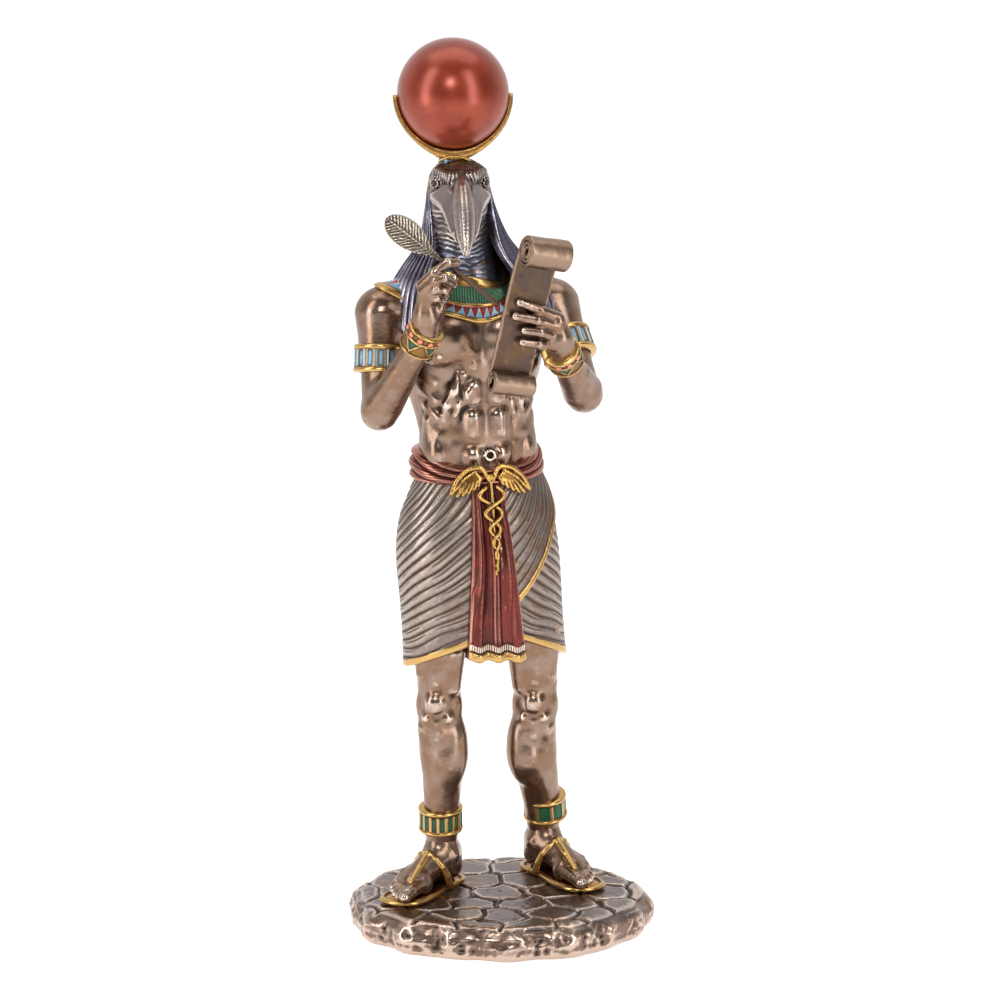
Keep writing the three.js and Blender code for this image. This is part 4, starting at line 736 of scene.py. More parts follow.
def sole(ankle, toes, side):
    """A flat sole with a rounded gold rim. The rows run from the underside round the rim to the middle."""
    outline = sole_outline(24)
    if side < 0:
        outline = (outline * [-1, 1])[::-1]
    turn = math.atan2(toes[1], toes[0]) - math.pi / 2
    spin = np.array([[math.cos(turn), math.sin(turn)], [-math.sin(turn), math.cos(turn)]])
    middle = np.array([0, 8.0])
    rows = []
    profile = [(0.2, SOLE_BOTTOM + 0.02), (0.93, SOLE_BOTTOM + 0.02)]
    for a in np.linspace(-0.5, 0.9, 9) * math.pi:
        profile.append((0.93 + 0.07 * math.cos(a), (SOLE_BOTTOM + SOLE_TOP) / 2 + 0.05 + 0.8 * math.sin(a)))
    rim = len(profile)
    profile += [(0.86, SOLE_TOP - 0.25), (0.6, SOLE_TOP - 0.2), (0.2, SOLE_TOP - 0.2)]
    for share, z in profile:
        ring = (middle + (outline - middle) * share) @ spin
        rows.append(np.column_stack([ring[:, 0] + ankle[0], ring[:, 1] + ankle[1], np.full(len(ring), z)]))
    points, faces = sheet(np.array(rows), wraps=True)
    paint = np.repeat(np.arange(len(rows) - 1) >= rim, len(outline)).astype(int)
    return points, faces, paint


def finger(radius, *joints):
    return [
        limb(a, b, radius * (1 - 0.06 * i), radius * (0.94 - 0.06 * i), 0.6)
        for i, (a, b) in enumerate(zip(joints, joints[1:]))
    ]


def writing_hand():
    wrist = ARMS[0]["wrist"]
    return [
        limb(wrist, [-21.9, -24, 200], 4.6, 4.2, 1.5),
        limb([-21.9, -24.5, 199], [-22.2, -26.8, 207.5], 3.6, 2.2, 1.5),
        limb([-21.4, -24, 199], [-22.2, -25.2, 203], 3.8, 2.4, 1.5),
        limb([-20.4, -23.5, 196], [-18.2, -24.8, 202], 2.8, 2, 1.2),
        *finger(1.6, [-23.4, -27, 209.3], [-19.4, -29.8, 213.6], [-15.4, -29.6, 216.6],
                [-12.7, -28.2, 216.4]),
        *finger(1.6, [-23, -27.5, 207.4], [-18.9, -31, 211.4], [-16.5, -31.4, 212.2], [-13.8, -29, 210]),
        *finger(1.55, [-22.6, -27, 205.4], [-18.8, -31, 208.8], [-16.4, -30, 208.3]),
        *finger(1.45, [-22, -25.8, 203.2], [-18.9, -29.5, 206], [-16.9, -28.2, 205.4]),
        *finger(1.7, [-18.2, -24.8, 202], [-16.2, -25.4, 207], [-13.8, -25.4, 211.4]),
    ]


def holding_hand():
    wrist = ARMS[1]["wrist"]
    return [
        limb(wrist, [17.6, -28.2, 193.6], 4.6, 4.4, 1.5),
        limb([17.8, -28, 192.6], [17.2, -30.6, 199.2], 3.6, 2.4, 1.5),
        limb([17.2, -27.6, 191.6], [15.8, -30.2, 192.6], 3.6, 2.4, 1.5),
        *finger(1.6, [17.6, -30.6, 200.2], [12.1, -33.2, 202.8], [6, -34.8, 205.4]),
        *finger(1.65, [17, -31.4, 197.6], [11.2, -34, 200], [4.8, -35.4, 201.4]),
        *finger(1.55, [15.9, -31.2, 194.6], [12, -33.6, 196.4], [7.4, -34.4, 197]),
        *finger(1.45, [15.6, -30, 191.6], [11.6, -32.8, 192.6], [6.8, -34.2, 193.4]),
        *finger(1.7, [16.6, -26.4, 197], [11.4, -26, 201.6], [6.6, -28, 204.2]),
    ]


def dented(points, faces, amount, scale, seed=0):
    """The slightly uneven skin of a casting."""
    relief = noise(points, scale, seed) - 0.5 + 0.4 * (noise(points, scale * 0.4, seed + 1) - 0.5)
    return points + normals_of(points, faces) * (amount * relief)[:, None]


def skin(name, shapes, cell, kept=None, amount=0.06):
    points, faces = surface(shapes, cell)
    if kept is not None:
        points, faces = trimmed(points, faces, kept(points))
    points = dented(points, faces, amount, 2.2, len(name))
    piece(name, points, faces, [BRONZE], wear=worn(points, faces, 0.13, 2, cell * COARSE))


# The head with its long bent beak: forward, height and half width of its stations
UPPER_BEAK = [
    (7.5, 239, 2.1), (11.2, 237, 2.4), (14, 234.4, 2.8), (17.2, 230.6, 3.4),
    (20.8, 226.8, 3.2), (24.2, 222.3, 2.4), (26.3, 218.2, 1.2),
]
LOWER_BEAK = [(8, 229, 4), (13.6, 227.4, 3.2), (18, 224, 2.3), (22, 219.8, 1.4)]


def beak(knots):
    stations = curve(knots, 5)
    return chain([head(0, f, z) for f, z, _ in stations], [r for _, _, r in stations], 0.12)


def keels():
    """Two fine ridges along the top of the beak, which meet at its tip."""
    stations = curve(UPPER_BEAK, 5)[8:]
    ahead = np.gradient(stations[:, :2], axis=0)
    ahead /= np.linalg.norm(ahead, axis=1, keepdims=True)
    shapes = []
    for s in SIDES:
        line = []
        for (f, z, r), (df, dz) in zip(stations, ahead):
            aside = 0.16 * r + 0.1
            up = math.sqrt(max(r * r - aside * aside, 0)) + 0.02
            line.append(head(aside * s, f - dz * up, z + df * up))
        shapes += chain(line, np.linspace(0.2, 0.34, len(line)), 0.35)
    return shapes


FLANGE = [
    ((1.4, 21, 225.4), (3.1, 21.2, 222.8)), ((1.6, 19.6, 227.2), (3.9, 19.2, 224.8)),
    ((1.8, 18, 229.2), (4.7, 16.9, 227.3)), ((2, 16.4, 231), (5.4, 14.3, 229.6)),
    ((2.4, 14.8, 232.8), (6.2, 11.9, 230.9)), ((3, 12.8, 234.2), (7.1, 9.5, 231.8)),
    ((4, 10.4, 235), (7.9, 7.4, 232.4)), ((5.2, 8.2, 235), (8.4, 5.6, 233)),
]
FLANGE_RIM = [
    (2.6, 22.4, 221.2), (3.9, 19.6, 224.1), (5, 16.6, 227), (5.9, 13.4, 229.2),
    (7, 10.6, 230.4), (8.1, 7.8, 231.1), (8.8, 5.6, 231.8),
]


def on_side(side, left, forward, z):
    return head(left * side, forward, z)


def bill_root():
    """The flanges that slope from the root of the beak out over the cheeks."""
    roots = curve([root for root, _ in FLANGE], 3)
    ends = curve([end for _, end in FLANGE], 3)
    return [limb(on_side(s, *a), on_side(s, *b), 1.1, 0.6, 1.2) for s in SIDES for a, b in zip(roots, ends)]


def bill_rim():
    """A thin rolled edge along each flange."""
    return [part for s in SIDES for part in chain([on_side(s, *p) for p in FLANGE_RIM], 0.38, 0.3)]


EYE_PLACE = (7.5, 6.2, 236.8)


def eye_out(side):
    return 0.78 * side * SKULL[0] + 0.62 * SKULL[1]


def eye_middle(side):
    return on_side(side, *EYE_PLACE) + eye_out(side) * 0.2


def eye_rings(side):
    """Folds of skin around the eye."""
    middle = on_side(side, *EYE_PLACE)
    out = eye_out(side)
    across = np.cross(UP, out)
    shapes = []
    for radius, back, wire in ((1.3, -0.6, 0.17), (1.95, -0.1, 0.15), (2.7, 0.6, 0.14), (3.4, 1.5, 0.13)):
        ring = [
            middle + radius * (1.15 * math.cos(a) * across + 0.95 * math.sin(a) * UP) - out * back
            for a in np.linspace(0, 2 * math.pi, 21)
        ]
        shapes += chain(ring, wire, 0.35)
    shapes.append(lump(eye_middle(side), [0.9, 0.9, 0.9], SKULL, 0.05))
    return shapes


def ibis_head():
    shapes = [
        limb(torso(0, 0, 198), head(0, -1, 222), 11.4, 8.6, 4),
        lump(head(0, 0, 234.4), [8.8, 11, 9.6], SKULL, 2),
        limb(head(0, -1, 224), head(0, -1, 232), 8.8, 8.6, 3),
        limb(head(0, 4, 237.4), head(0, 8.6, 235.4), 5.8, 4.8, 2),
        limb(head(0, 7, 228), head(0, 3, 217), 5.6, 6.4, 3),
        *bill_root(),
    ]
    for s in SIDES:
        shapes += [
            lump(head(4 * s, 2, 237.4), [4.8, 6.5, 4.8], SKULL, 1.5),
            lump(head(4.8 * s, 3.8, 229), [3.6, 5, 5], SKULL, 1.2),
            hollow(limb(head(6.2 * s, 14.4, 226.4), head(9.8 * s, 8, 228.6), 1.9, 1.9, 0.3)),
            hollow(lump(head(7.9 * s, 6.4, 236.8), [2.2, 2.5, 2.1], SKULL, 0.8)),
            *eye_rings(s),
            limb(head(3.4 * s, 9.6, 239), head(6.9 * s, 4.4, 240), 1.5, 1.3, 1),
            lump(head(2.2 * s, 10, 239.4), [1.5, 1.8, 1.3], SKULL, 0.8),
        ]
    return shapes + bill_rim() + beak(UPPER_BEAK) + keels() + beak(LOWER_BEAK)


def plumage(points):
    """Relief in mm: streaks over the crown and wrinkles down the neck."""
    flat = points - vec(*HEAD, 0)
    left, forward, z = flat @ SKULL[0], flat @ SKULL[1], points[:, 2]
    side = np.abs(left)
    eye = np.sqrt((0.7 * (side - 7.6)) ** 2 + (forward - 6.2) ** 2 + (z - 236.8) ** 2)
    by_eye = step(4.6, 3.4, eye)
    around = np.arctan2(left, forward - 1)
    streaks = 0.55 * (np.abs(np.sin(math.pi * (around * 9 + 1.5 * noise(points, 3, 81)))) ** 0.8 - 0.6)
    drift = 1.3 * noise(points * [0.8, 0.8, 1], 3.4, 82) + 0.35 * noise(points, 1.3, 84)
    bowed = np.sqrt(left * left + 9)
    broken = 0.35 + 0.9 * noise(points * [1, 1, 1.6], 2.4, 85)
    folds = 0.42 * broken * (np.abs(np.sin(math.pi * ((z - 0.2 * bowed) / 1.7 + drift))) ** 0.6 - 0.6)
    crown = step(231, 234, z)
    throat = step(229.5, 228, z)
    return crown * streaks * (1 - 0.6 * by_eye) + throat * folds


def head_piece():
    points, faces = surface(ibis_head(), 0.25)
    points, faces = trimmed(points, faces, points[:, 2] > 199)
    bill = beak(UPPER_BEAK) + beak(LOWER_BEAK) + bill_root() + bill_rim()
    off = step(0.1, 0.8, field(points, bill))
    relief = plumage(points) * off
    points = points + normals_of(points, faces) * relief[:, None]
    points = dented(points, faces, 0.05, 2.2, 83)
    paint = (off[faces].mean(axis=1) < 0.35).astype(int)
    for s in SIDES:
        eye = np.linalg.norm(points - eye_middle(s), axis=1)
        paint[eye[faces].max(axis=1) < 1.25] = 2
    left = (points - vec(*HEAD, 0)) @ SKULL[0]
    brow = 0.5 * step(232, 236, points[:, 2]) * step(3.2, 2.2, np.abs(left))
    tint = np.where(off < 0.5, brow, 0.8 * step(224, 214, points[:, 2]))
    piece("ibis_head", points, faces, [PLUMAGE, BILL, EYE], paint=paint, tint=tint,
          wear=worn(points, faces, 0.06, 0.5, 0.25 * COARSE))


body = trunk()
flesh = body + [s for a in ARMS for s in arm(**a)]
skin("torso_and_arms", flesh, 0.42, lambda p: p[:, 2] > 139)
for side, bones in zip(SIDES, LEGS):
    tag = "right" if side < 0 else "left"
    skin(tag + "_leg", leg(**bones, side=side), 0.42, lambda p: p[:, 2] < 102)
    at = foot_frame(bones["ankle"], bones["toes"], side)
    skin(tag + "_foot", foot(at), 0.28)
    points, faces = surface(straps(at), 0.3)
    piece(tag + "_strap", points, faces, [GOLD])
    points, faces, paint = sole(bones["ankle"], bones["toes"], side)
    piece(tag + "_sole", points, faces, [GOLD, SOLE], paint=paint)
skin("writing_hand", writing_hand(), 0.25)
skin("holding_hand", holding_hand(), 0.25)
head_piece()


# Jewellery: strips whose pattern gives a relief in mm and the number of a material
def rimmed(v, rim, height):
    """A rounded rim along both edges of a strip: whether it is there, and how high."""
    share = np.minimum(v, 1 - v) / rim
    return share < 1, height * np.sqrt(np.clip(np.sin(math.pi * np.clip(share, 0, 1)), 0.0, 1))


def bars(count, wire, second=0.0):
    """Upright enamel bars between gold wires. second is the share of a narrower, paler bar."""
    def pattern(u, v):
        edge, height = rimmed(v, 0.19, 0.55)
        f = u * count % 1
        gold = (f < wire) | ((f > 1 - second - wire) & (f < 1 - second))
        relief = np.where(edge, height, np.where(gold, 0.32, 0.0))
        colour = np.where(edge | gold, 0, np.where(f > 1 - second, 2, 1))
        return relief, colour
    return pattern


def cuff_pattern(u, v):
    """Green triangles in gold frames, which point to the elbow, under a row of red beads."""
    f = u * 5 % 1 - 0.5
    edge, height = rimmed(v, 0.1, 0.45)
    wide = 0.46 * np.clip((v - 0.12) / 0.5, 0, 1)
    inside = (np.abs(f) < wide) & (v < 0.62)
    core = (np.abs(f) < wide - 0.08) & (v < 0.56)
    bead = np.hypot((u * 10 % 1 - 0.5) * 3.33, (v - 0.78) * 8.4)
    red = bead < 0.85
    relief = np.where(red, 0.1 + 0.6 * np.sqrt(np.clip(1 - (bead / 0.85) ** 2, 0, 1)), 0.0)
    relief = np.where(inside, np.where(core, -0.05, 0.34), relief)
    relief = np.where(np.abs(v - 0.65) < 0.03, 0.34, relief)
    relief = np.where(edge, np.maximum(height, relief), relief)
    return relief, np.where(core, 1, np.where(red & ~edge, 2, 0))


def collar_pattern(u, v):
    """From the outer edge in: rim, triangles, wire, green bars and rim."""
    f = u * 33 % 1 - 0.5
    rise = np.clip((v - 0.15) / 0.3, 0, 1)
    triangle = 0.46 * (1 - rise) - np.abs(f)
    green_wave = 0.5 + 0.5 * np.cos(2 * math.pi * (u * 96 + v * 1.4))
    rim = (v < 0.15) | (v > 0.84)
    wire = (v > 0.45) & (v < 0.52)
    relief = np.where(triangle > 0, 0.16, 0.0)
    relief = np.where(v > 0.52, 0.4 * green_wave, relief)
    relief = np.where(wire, 0.5, relief)
    low = np.sin(math.pi * np.clip(v / 0.15, 0, 1))
    high = np.sin(math.pi * np.clip((v - 0.84) / 0.16, 0, 1))
    relief = np.where(rim, 0.75 * np.sqrt(np.clip(np.maximum(low, high), 0, 1)), relief)
    colour = np.where(triangle > 0.1, 1, np.where(triangle > 0, 2, 3))
    colour = np.where(v > 0.5, 4, colour)
    return relief, np.where(rim | wire, 0, colour)


def tucked(u, v, pattern, shape, deep):
    """Relief and colours of a strip whose first and last rows turn in by deep."""
    relief, _ = pattern(u, v)
    relief = np.concatenate([relief[:1] * 0 - deep, relief, relief[-1:] * 0 - deep])
    half_u, half_v = 0.5 / shape[1], 0.5 / (shape[0] - 1)
    _, colour = pattern(u[:-1] + half_u, v[:-1] + half_v)
    return relief, np.concatenate([colour[:1] * 0, colour, colour[:1] * 0])


def strip_grid(rows, columns):
    shape = (int(rows / COARSE), int(columns / COARSE))
    v, u = lattice(np.linspace(0, 1, shape[0]), np.arange(shape[1]) / shape[1])
    return u, v, shape


def band(name, middle, axis, radius, height, pattern, materials, flare=0.0):
    """A ring around a limb. v runs along the axis."""
    axis = unit(axis)
    side = unit(np.cross(axis, [0.3, -1, 0.1]))
    out = np.cross(side, axis)
    u, v, shape = strip_grid(42, 230)
    relief, colour = tucked(u, v, pattern, shape, 1.6)
    rows = np.concatenate([v[:1], v, v[-1:]])
    angle = 2 * math.pi * np.concatenate([u[:1], u, u[-1:]])
    reach = radius + relief + flare * (rows - 0.5)
    points = (
        middle + ((rows - 0.5) * height)[..., None] * axis
        + (reach * np.cos(angle))[..., None] * out + (reach * np.sin(angle))[..., None] * side
    )
    points, faces = sheet(points, wraps=True)
    piece(name, points, faces, materials, paint=colour.ravel())


def skin_distance(shapes, start, ways):
    """How far rays from inside a body run before they leave it."""
    flat = ways.reshape(-1, 3)
    run = np.zeros(len(flat))
    for _ in range(45):
        d = field(start + flat * run[:, None], shapes)
        run += np.where(d < -0.01, np.maximum(-d, 0.03), 0)
    return run.reshape(ways.shape[:-1])


COLLAR_FROM = 186
COLLAR_OUTER = 32
COLLAR_INNER = 62


def collar():
    def ways(u, v):
        a = 2 * math.pi * u
        slope = COLLAR_OUTER + (COLLAR_INNER - COLLAR_OUTER) * v
        slope = slope + 9 * np.maximum(np.sin(a), 0) ** 2 * step(1, 0.4, v)
        e = np.radians(slope)[..., None]
        flat = np.sin(a)[..., None] * TORSO[0] + np.cos(a)[..., None] * TORSO[1]
        return flat * np.cos(e) + UP * np.sin(e)

    start = torso(0, -1, COLLAR_FROM)
    rough_v, rough_u = lattice(np.linspace(0, 1, 15), np.arange(121) / 120)
    reach = skin_distance(flesh, start, ways(rough_u, rough_v))
    u, v, shape = strip_grid(74, 640)
    relief, colour = tucked(u, v, collar_pattern, shape, 2.2)
    rows = np.concatenate([v[:1], v, v[-1:]])
    columns = np.concatenate([u[:1], u, u[-1:]])
    i, j = rows * 14, columns * 120
    i0, j0 = np.minimum(i.astype(int), 13), np.minimum(j.astype(int), 119)
    fi, fj = i - i0, j - j0
    skin_at = (
        (reach[i0, j0] * (1 - fj) + reach[i0, j0 + 1] * fj) * (1 - fi)
        + (reach[i0 + 1, j0] * (1 - fj) + reach[i0 + 1, j0 + 1] * fj) * fi
    )
    points = start + ways(columns, rows) * (skin_at + 0.75 + relief)[..., None]
    points, faces = sheet(points, wraps=True)
    piece("collar", points, faces, [GOLD, BLUE, PALE, SCARLET, GREEN], paint=colour.ravel())


collar()
for tag, bones in zip(("right", "left"), ARMS):
    bone = bones["elbow"] - bones["shoulder"]
    band(tag + "_armband", bones["shoulder"] + 0.46 * bone, -bone, 8, 8.6, bars(15, 0.16, 0.26),
         [GOLD, BLUE, PALE])
    fore = bones["wrist"] - bones["elbow"]
    band(tag + "_cuff", bones["elbow"] + 0.93 * fore, fore, 5.3, 8.4, cuff_pattern,
         [GOLD, GREEN, SCARLET], flare=0.3)
for tag, bones, enamel in zip(("right", "left"), LEGS, (bars(16, 0.2), bars(9, 0.13))):
    band(tag + "_anklet", bones["ankle"] + UP * 6.5, bones["knee"] - bones["ankle"], 6.6, 8.2, enamel,
         [GOLD, GREEN])

# The wig
WIG_SIDE = [(190, 27), (204, 24), (210, 20.2), (215, 16), (220, 13), (228, 10.5), (236, 9), (240, 7),
            (243, 3)]
WIG_FRONT = [(190, 28.5), (204, 22), (210, 17), (218, 12.5), (228, 10), (236, 8), (243, 2)]
WIG_BACK = [(186, 19), (200, 18.5), (214, 16), (228, 15), (236, 13), (240, 9.5), (243, 3)]
WIG_OPENING = [(194, 42), (204, 42), (210, 42), (220, 44), (228, 58), (236, 80), (243, 92)]
WIG_HEM = [(0, 193), (62, 192.5), (80, 197), (98, 203), (130, 192), (180, 187)]
WIG_TOP = 242.6
WIG_STRANDS = 43


def wig_points(u, v, swell):
    """u runs from the right lappet round the back to the left one, v from the crown to the hem."""
    guess = WIG_TOP + (200 - WIG_TOP) * v
    opening = along(WIG_OPENING, guess)
    angle = opening + (360 - 2 * opening) * u
    z = WIG_TOP + (along(WIG_HEM, np.minimum(angle, 360 - angle)) - WIG_TOP) * v
    a = np.radians(angle)
    blend = ease(np.clip((240 - z) / 36, 0, 1))[..., None]
    middle = head(0, -1, z) * (1 - blend) + torso(0, 0, z) * blend
    forward = np.where(np.cos(a) > 0, along(WIG_FRONT, z), along(WIG_BACK, z)) + swell
    aside = np.maximum(along(WIG_SIDE, z) + swell, 0.5)
    return (
        middle + SKULL[0] * (-np.sin(a) * aside)[..., None]
        + SKULL[1] * (np.cos(a) * np.maximum(forward, 0.5))[..., None]
    )


def wig():
    rows, columns = int(96 / COARSE), int(900 / COARSE)
    v, u = lattice(np.linspace(0.01, 1, rows), np.linspace(0, 1, columns))
    wave = flat_noise(u * 22, v * 1.6, 3)
    f = (u - 1.14 * np.maximum(u - 0.78, 0) ** 2) * WIG_STRANDS + 0.4 * wave
    strand = np.abs(np.sin(math.pi * f)) ** 0.6
    fine = np.abs(np.sin(math.pi * (f * 3 + wave)))
    swell = (1.6 * strand + 0.2 * fine - 1.3) * np.clip(3 * v, 0.15, 1)
    swell = np.where(v > 0.985, swell - 0.5, swell)
    # The edges turn in to a lining
    u, v, swell = (np.pad(g, ((0, 1), (2, 2)), mode="edge") for g in (u, v, swell))
    for column, turn_in in ((0, -3.2), (1, -1.3), (-2, -1.3), (-1, -3.2)):
        swell[:, column] = turn_in
    swell[-1] = -4.5
    points, faces = sheet(wig_points(u, v, swell))
    piece("wig", points, faces, [HAIR], wear=worn(points, faces, 0.06, 0.5))


wig()

# Cloth
KILT_SIDE = [(84, 26.4), (100, 26), (120, 26.1), (132, 24.6), (140, 21.6), (147, 19), (156, 18.2)]
KILT_DEPTH = [(84, 17.6), (100, 18), (120, 18), (132, 16.8), (140, 15), (147, 13.4), (156, 12.6)]
KILT_ASIDE = [(84, 0.6), (104, 0), (125, -0.7), (147, 0)]
KILT_LENGTH = 59
HEM_SIDE = 84.5
HEM_RISE = 14
LIFT_FROM = math.radians(100)  # the cloth is drawn up in front, from here to the middle
PLEATS = 21
HEM_WIDTH = 2.3
WRAP_EDGE = [(8, 104.8), (14, 107.2), (27, 113.2), (42, 121.2), (55, 128.5), (75, 137), (95, 143),
             (125, 148)]
WRAP_PITCH = 3.9


def kilt_points(angle, z, swell):
    left = np.sin(angle) * (along(KILT_SIDE, z) + swell) + along(KILT_ASIDE, z)
    forward = np.cos(angle) * (along(KILT_DEPTH, z) + swell)
    return torso(left, forward, z)


def facing(angle, power):
    return np.maximum(np.cos(angle), 0) ** power


def sash_half(angle):
    return 4.7 - 2.3 * facing(angle, 1.5)


def sash_middle(angle):
    return 149.6 - 2.6 * facing(angle, 1.5)


def lift(angle):
    off = math.pi - np.abs(angle % (2 * math.pi) - math.pi)
    return np.maximum(1 - off / LIFT_FROM, 0) ** 1.5


def pleat_height(angle, row):
    """The height of a pleat, row 0 at the hem: the rows fan up towards the front."""
    return HEM_SIDE + KILT_LENGTH * row + lift(angle) * (HEM_RISE + 20 * row + 60 * row ** 3)


def pleat(t, where, seed):
    """Relief of laid pleats, one for each whole step of t, with a crease here and there."""
    t = t + 0.55 * (noise(where, 9, seed) - 0.5)
    f = t % 1
    main = np.sin(math.pi * f) ** 0.38
    crease = 0.35 * step(0.45, 0.8, noise(where, 6, seed + 1)) * np.exp(-((f - 0.62) / 0.07) ** 2)
    return main - crease - 0.75


def kilt():
    rows, columns = int(250 / COARSE), int(350 / COARSE)
    a = 2 * math.pi * np.arange(columns) / columns
    low, high = np.zeros(columns), np.full(columns, 1.1)
    for _ in range(20):
        middle = (low + high) / 2
        under = pleat_height(a, middle) < sash_middle(a)
        low, high = np.where(under, middle, low), np.where(under, high, middle)
    v = np.linspace(0, 1, rows)[:, None]
    row = v * high
    a = np.broadcast_to(a, row.shape)
    z = pleat_height(a, row)
    rise = z - pleat_height(a, 0)
    where = kilt_points(a, z, 0)
    relief = 0.48 * pleat(row * PLEATS, where, 5)
    relief = np.where(rise < HEM_WIDTH, 0.25, relief) - 0.5 * np.clip(1 - rise / 0.5, 0, 1) ** 2
    outer = kilt_points(a, z, relief)
    under = [kilt_points(a[:1], z[:1], -d) for d in (12.0, 2.6, 0.6)]
    points, faces = sheet(np.concatenate([*under, outer]), wraps=True)
    mean = (rise[:-1] + rise[1:]) / 2
    paint = np.concatenate([np.ones((3, columns)), np.where(mean < HEM_WIDTH, 1, 0)])
    piece("kilt", points, faces, [CLOTH, GOLD], paint=paint.ravel())


def wrap():
    rows, columns = int(140 / COARSE), int(240 / COARSE)
    v, u = lattice(np.linspace(0, 1, rows), np.linspace(0, 1, columns))
    degrees = 4 + 121 * u
    a = np.radians(degrees)
    edge = along(WRAP_EDGE, degrees)
    z = edge + (sash_middle(a) - edge) * v
    where = kilt_points(a, z, 1.5)
    rise = z - edge
    relief = 0.5 * pleat(rise / WRAP_PITCH - 0.62, where, 11)
    gold = rise < HEM_WIDTH * 1.1
    relief = np.where(gold, 0.28, relief) - 0.5 * np.clip(1 - rise / 0.5, 0, 1) ** 2
    outer = kilt_points(a, z, 1.5 + relief)
    under = [kilt_points(a[:1], z[:1], d) for d in (-1.0, 0.6)]
    points, faces = sheet(np.concatenate([*under, outer]))
    paint = np.concatenate([np.ones((2, columns - 1)), np.where(gold[:-1, :-1], 1, 0)])
    piece("wrap", points, faces, [CLOTH, GOLD], paint=paint.ravel())


def sash():
    rows, columns = int(76 / COARSE), int(380 / COARSE)
    v, u = lattice(np.linspace(-1, 1, rows), np.arange(columns) / columns)
    a = 2 * math.pi * u
    z = sash_middle(a) + v * sash_half(a)
    where = kilt_points(a, z, 1)
    drift = 1.3 * noise(where, 14, 21) + 0.9 * facing(a, 1.2)
    f = (v * 1.3 + drift) % 1
    fold = np.sin(math.pi * f) ** 0.6
    second = np.sin(math.pi * ((v * 4.3 + 2.6 * noise(where, 8, 22) + 1.6 * facing(a, 1.2)) % 1)) ** 0.7
    relief = 1.3 * fold + 0.16 * second - 0.9
    relief = 0.9 + (1.4 + relief) * np.sqrt(np.clip(1.02 - v * v, 0, 1))
    outer = kilt_points(a, z, relief)
    ends = [kilt_points(a[:1], z[k:k + 1 or None], -1.2) for k in (0, -1)]
    points, faces = sheet(np.concatenate([ends[0], outer, ends[1]]), wraps=True)
    piece("sash", points, faces, [RED])


PANEL_TOP = 145
PANEL_BOTTOM = 89.6
PANEL_BORDER = 0.953  # share of the panel's height, where the gold border starts
PANEL_BEADS = (0.905, 0.94)  # shares of its height, where the row of beads starts and ends


def panel_trim(v):
    """Where the gold border and the row of beads are."""
    return v > PANEL_BORDER, (v > PANEL_BEADS[0]) & (v < PANEL_BEADS[1])


def panel():
    rows, columns = int(200 / COARSE), int(170 / COARSE)
    v, u = lattice(np.linspace(0, 1, rows), np.linspace(-0.5, 0.5, columns))
    wide = 9.4 + 9.2 * v ** 0.9
    broad = np.cos(6 * math.pi * u)
    # Narrow folds that split and widen as they fall
    f = (u * 8 + 1.8 * flat_noise(u * 7, v * 2.4, 31)) % 1
    narrow = np.sin(math.pi * f) ** 0.6 - 0.6
    z = PANEL_TOP + (PANEL_BOTTOM - PANEL_TOP) * v - v * (0.35 * broad + 1.4 * u)
    depth = along(KILT_DEPTH, z) + 1.6 + 0.7 * v + 0.55 * broad
    gold, bead_row = panel_trim(v)
    beads = 0.45 * np.abs(np.sin(math.pi * u * 26)) ** 0.6
    relief = np.where(gold, 0.55, np.where(bead_row, beads, 0.45 * narrow))
    relief = relief - 0.5 * np.clip((np.abs(u) - 0.47) / 0.03, 0, 1)
    relief = relief - 0.4 * np.clip((v - 0.992) / 0.008, 0, 1)
    outer = torso(-1 + u * wide, depth + relief, z)

    def back(edge, drop):
        return torso(-1 + u[edge] * wide[edge], depth[edge] - drop, z[edge])

    left = np.s_[:, :1]
    right = np.s_[:, -1:]
    whole = [back(left, 2.6), back(left, 1.0), outer, back(right, 1.0), back(right, 2.6)]
    whole = np.concatenate(whole, axis=1)
    last = whole[-1:] - TORSO[1] * 2.6
    points, faces = sheet(np.concatenate([whole, last]), flip=True)
    paint = np.zeros((rows, columns + 3))
    gold, bead_row = panel_trim((v[:-1, :-1] + v[1:, 1:]) / 2)
    paint[:-1, 2:-2] = np.where(gold, 1, np.where(bead_row, 2, 0))
    paint[-1] = 1
    piece("panel", points, faces, [RED, GOLD, BRONZE], paint=paint.ravel())


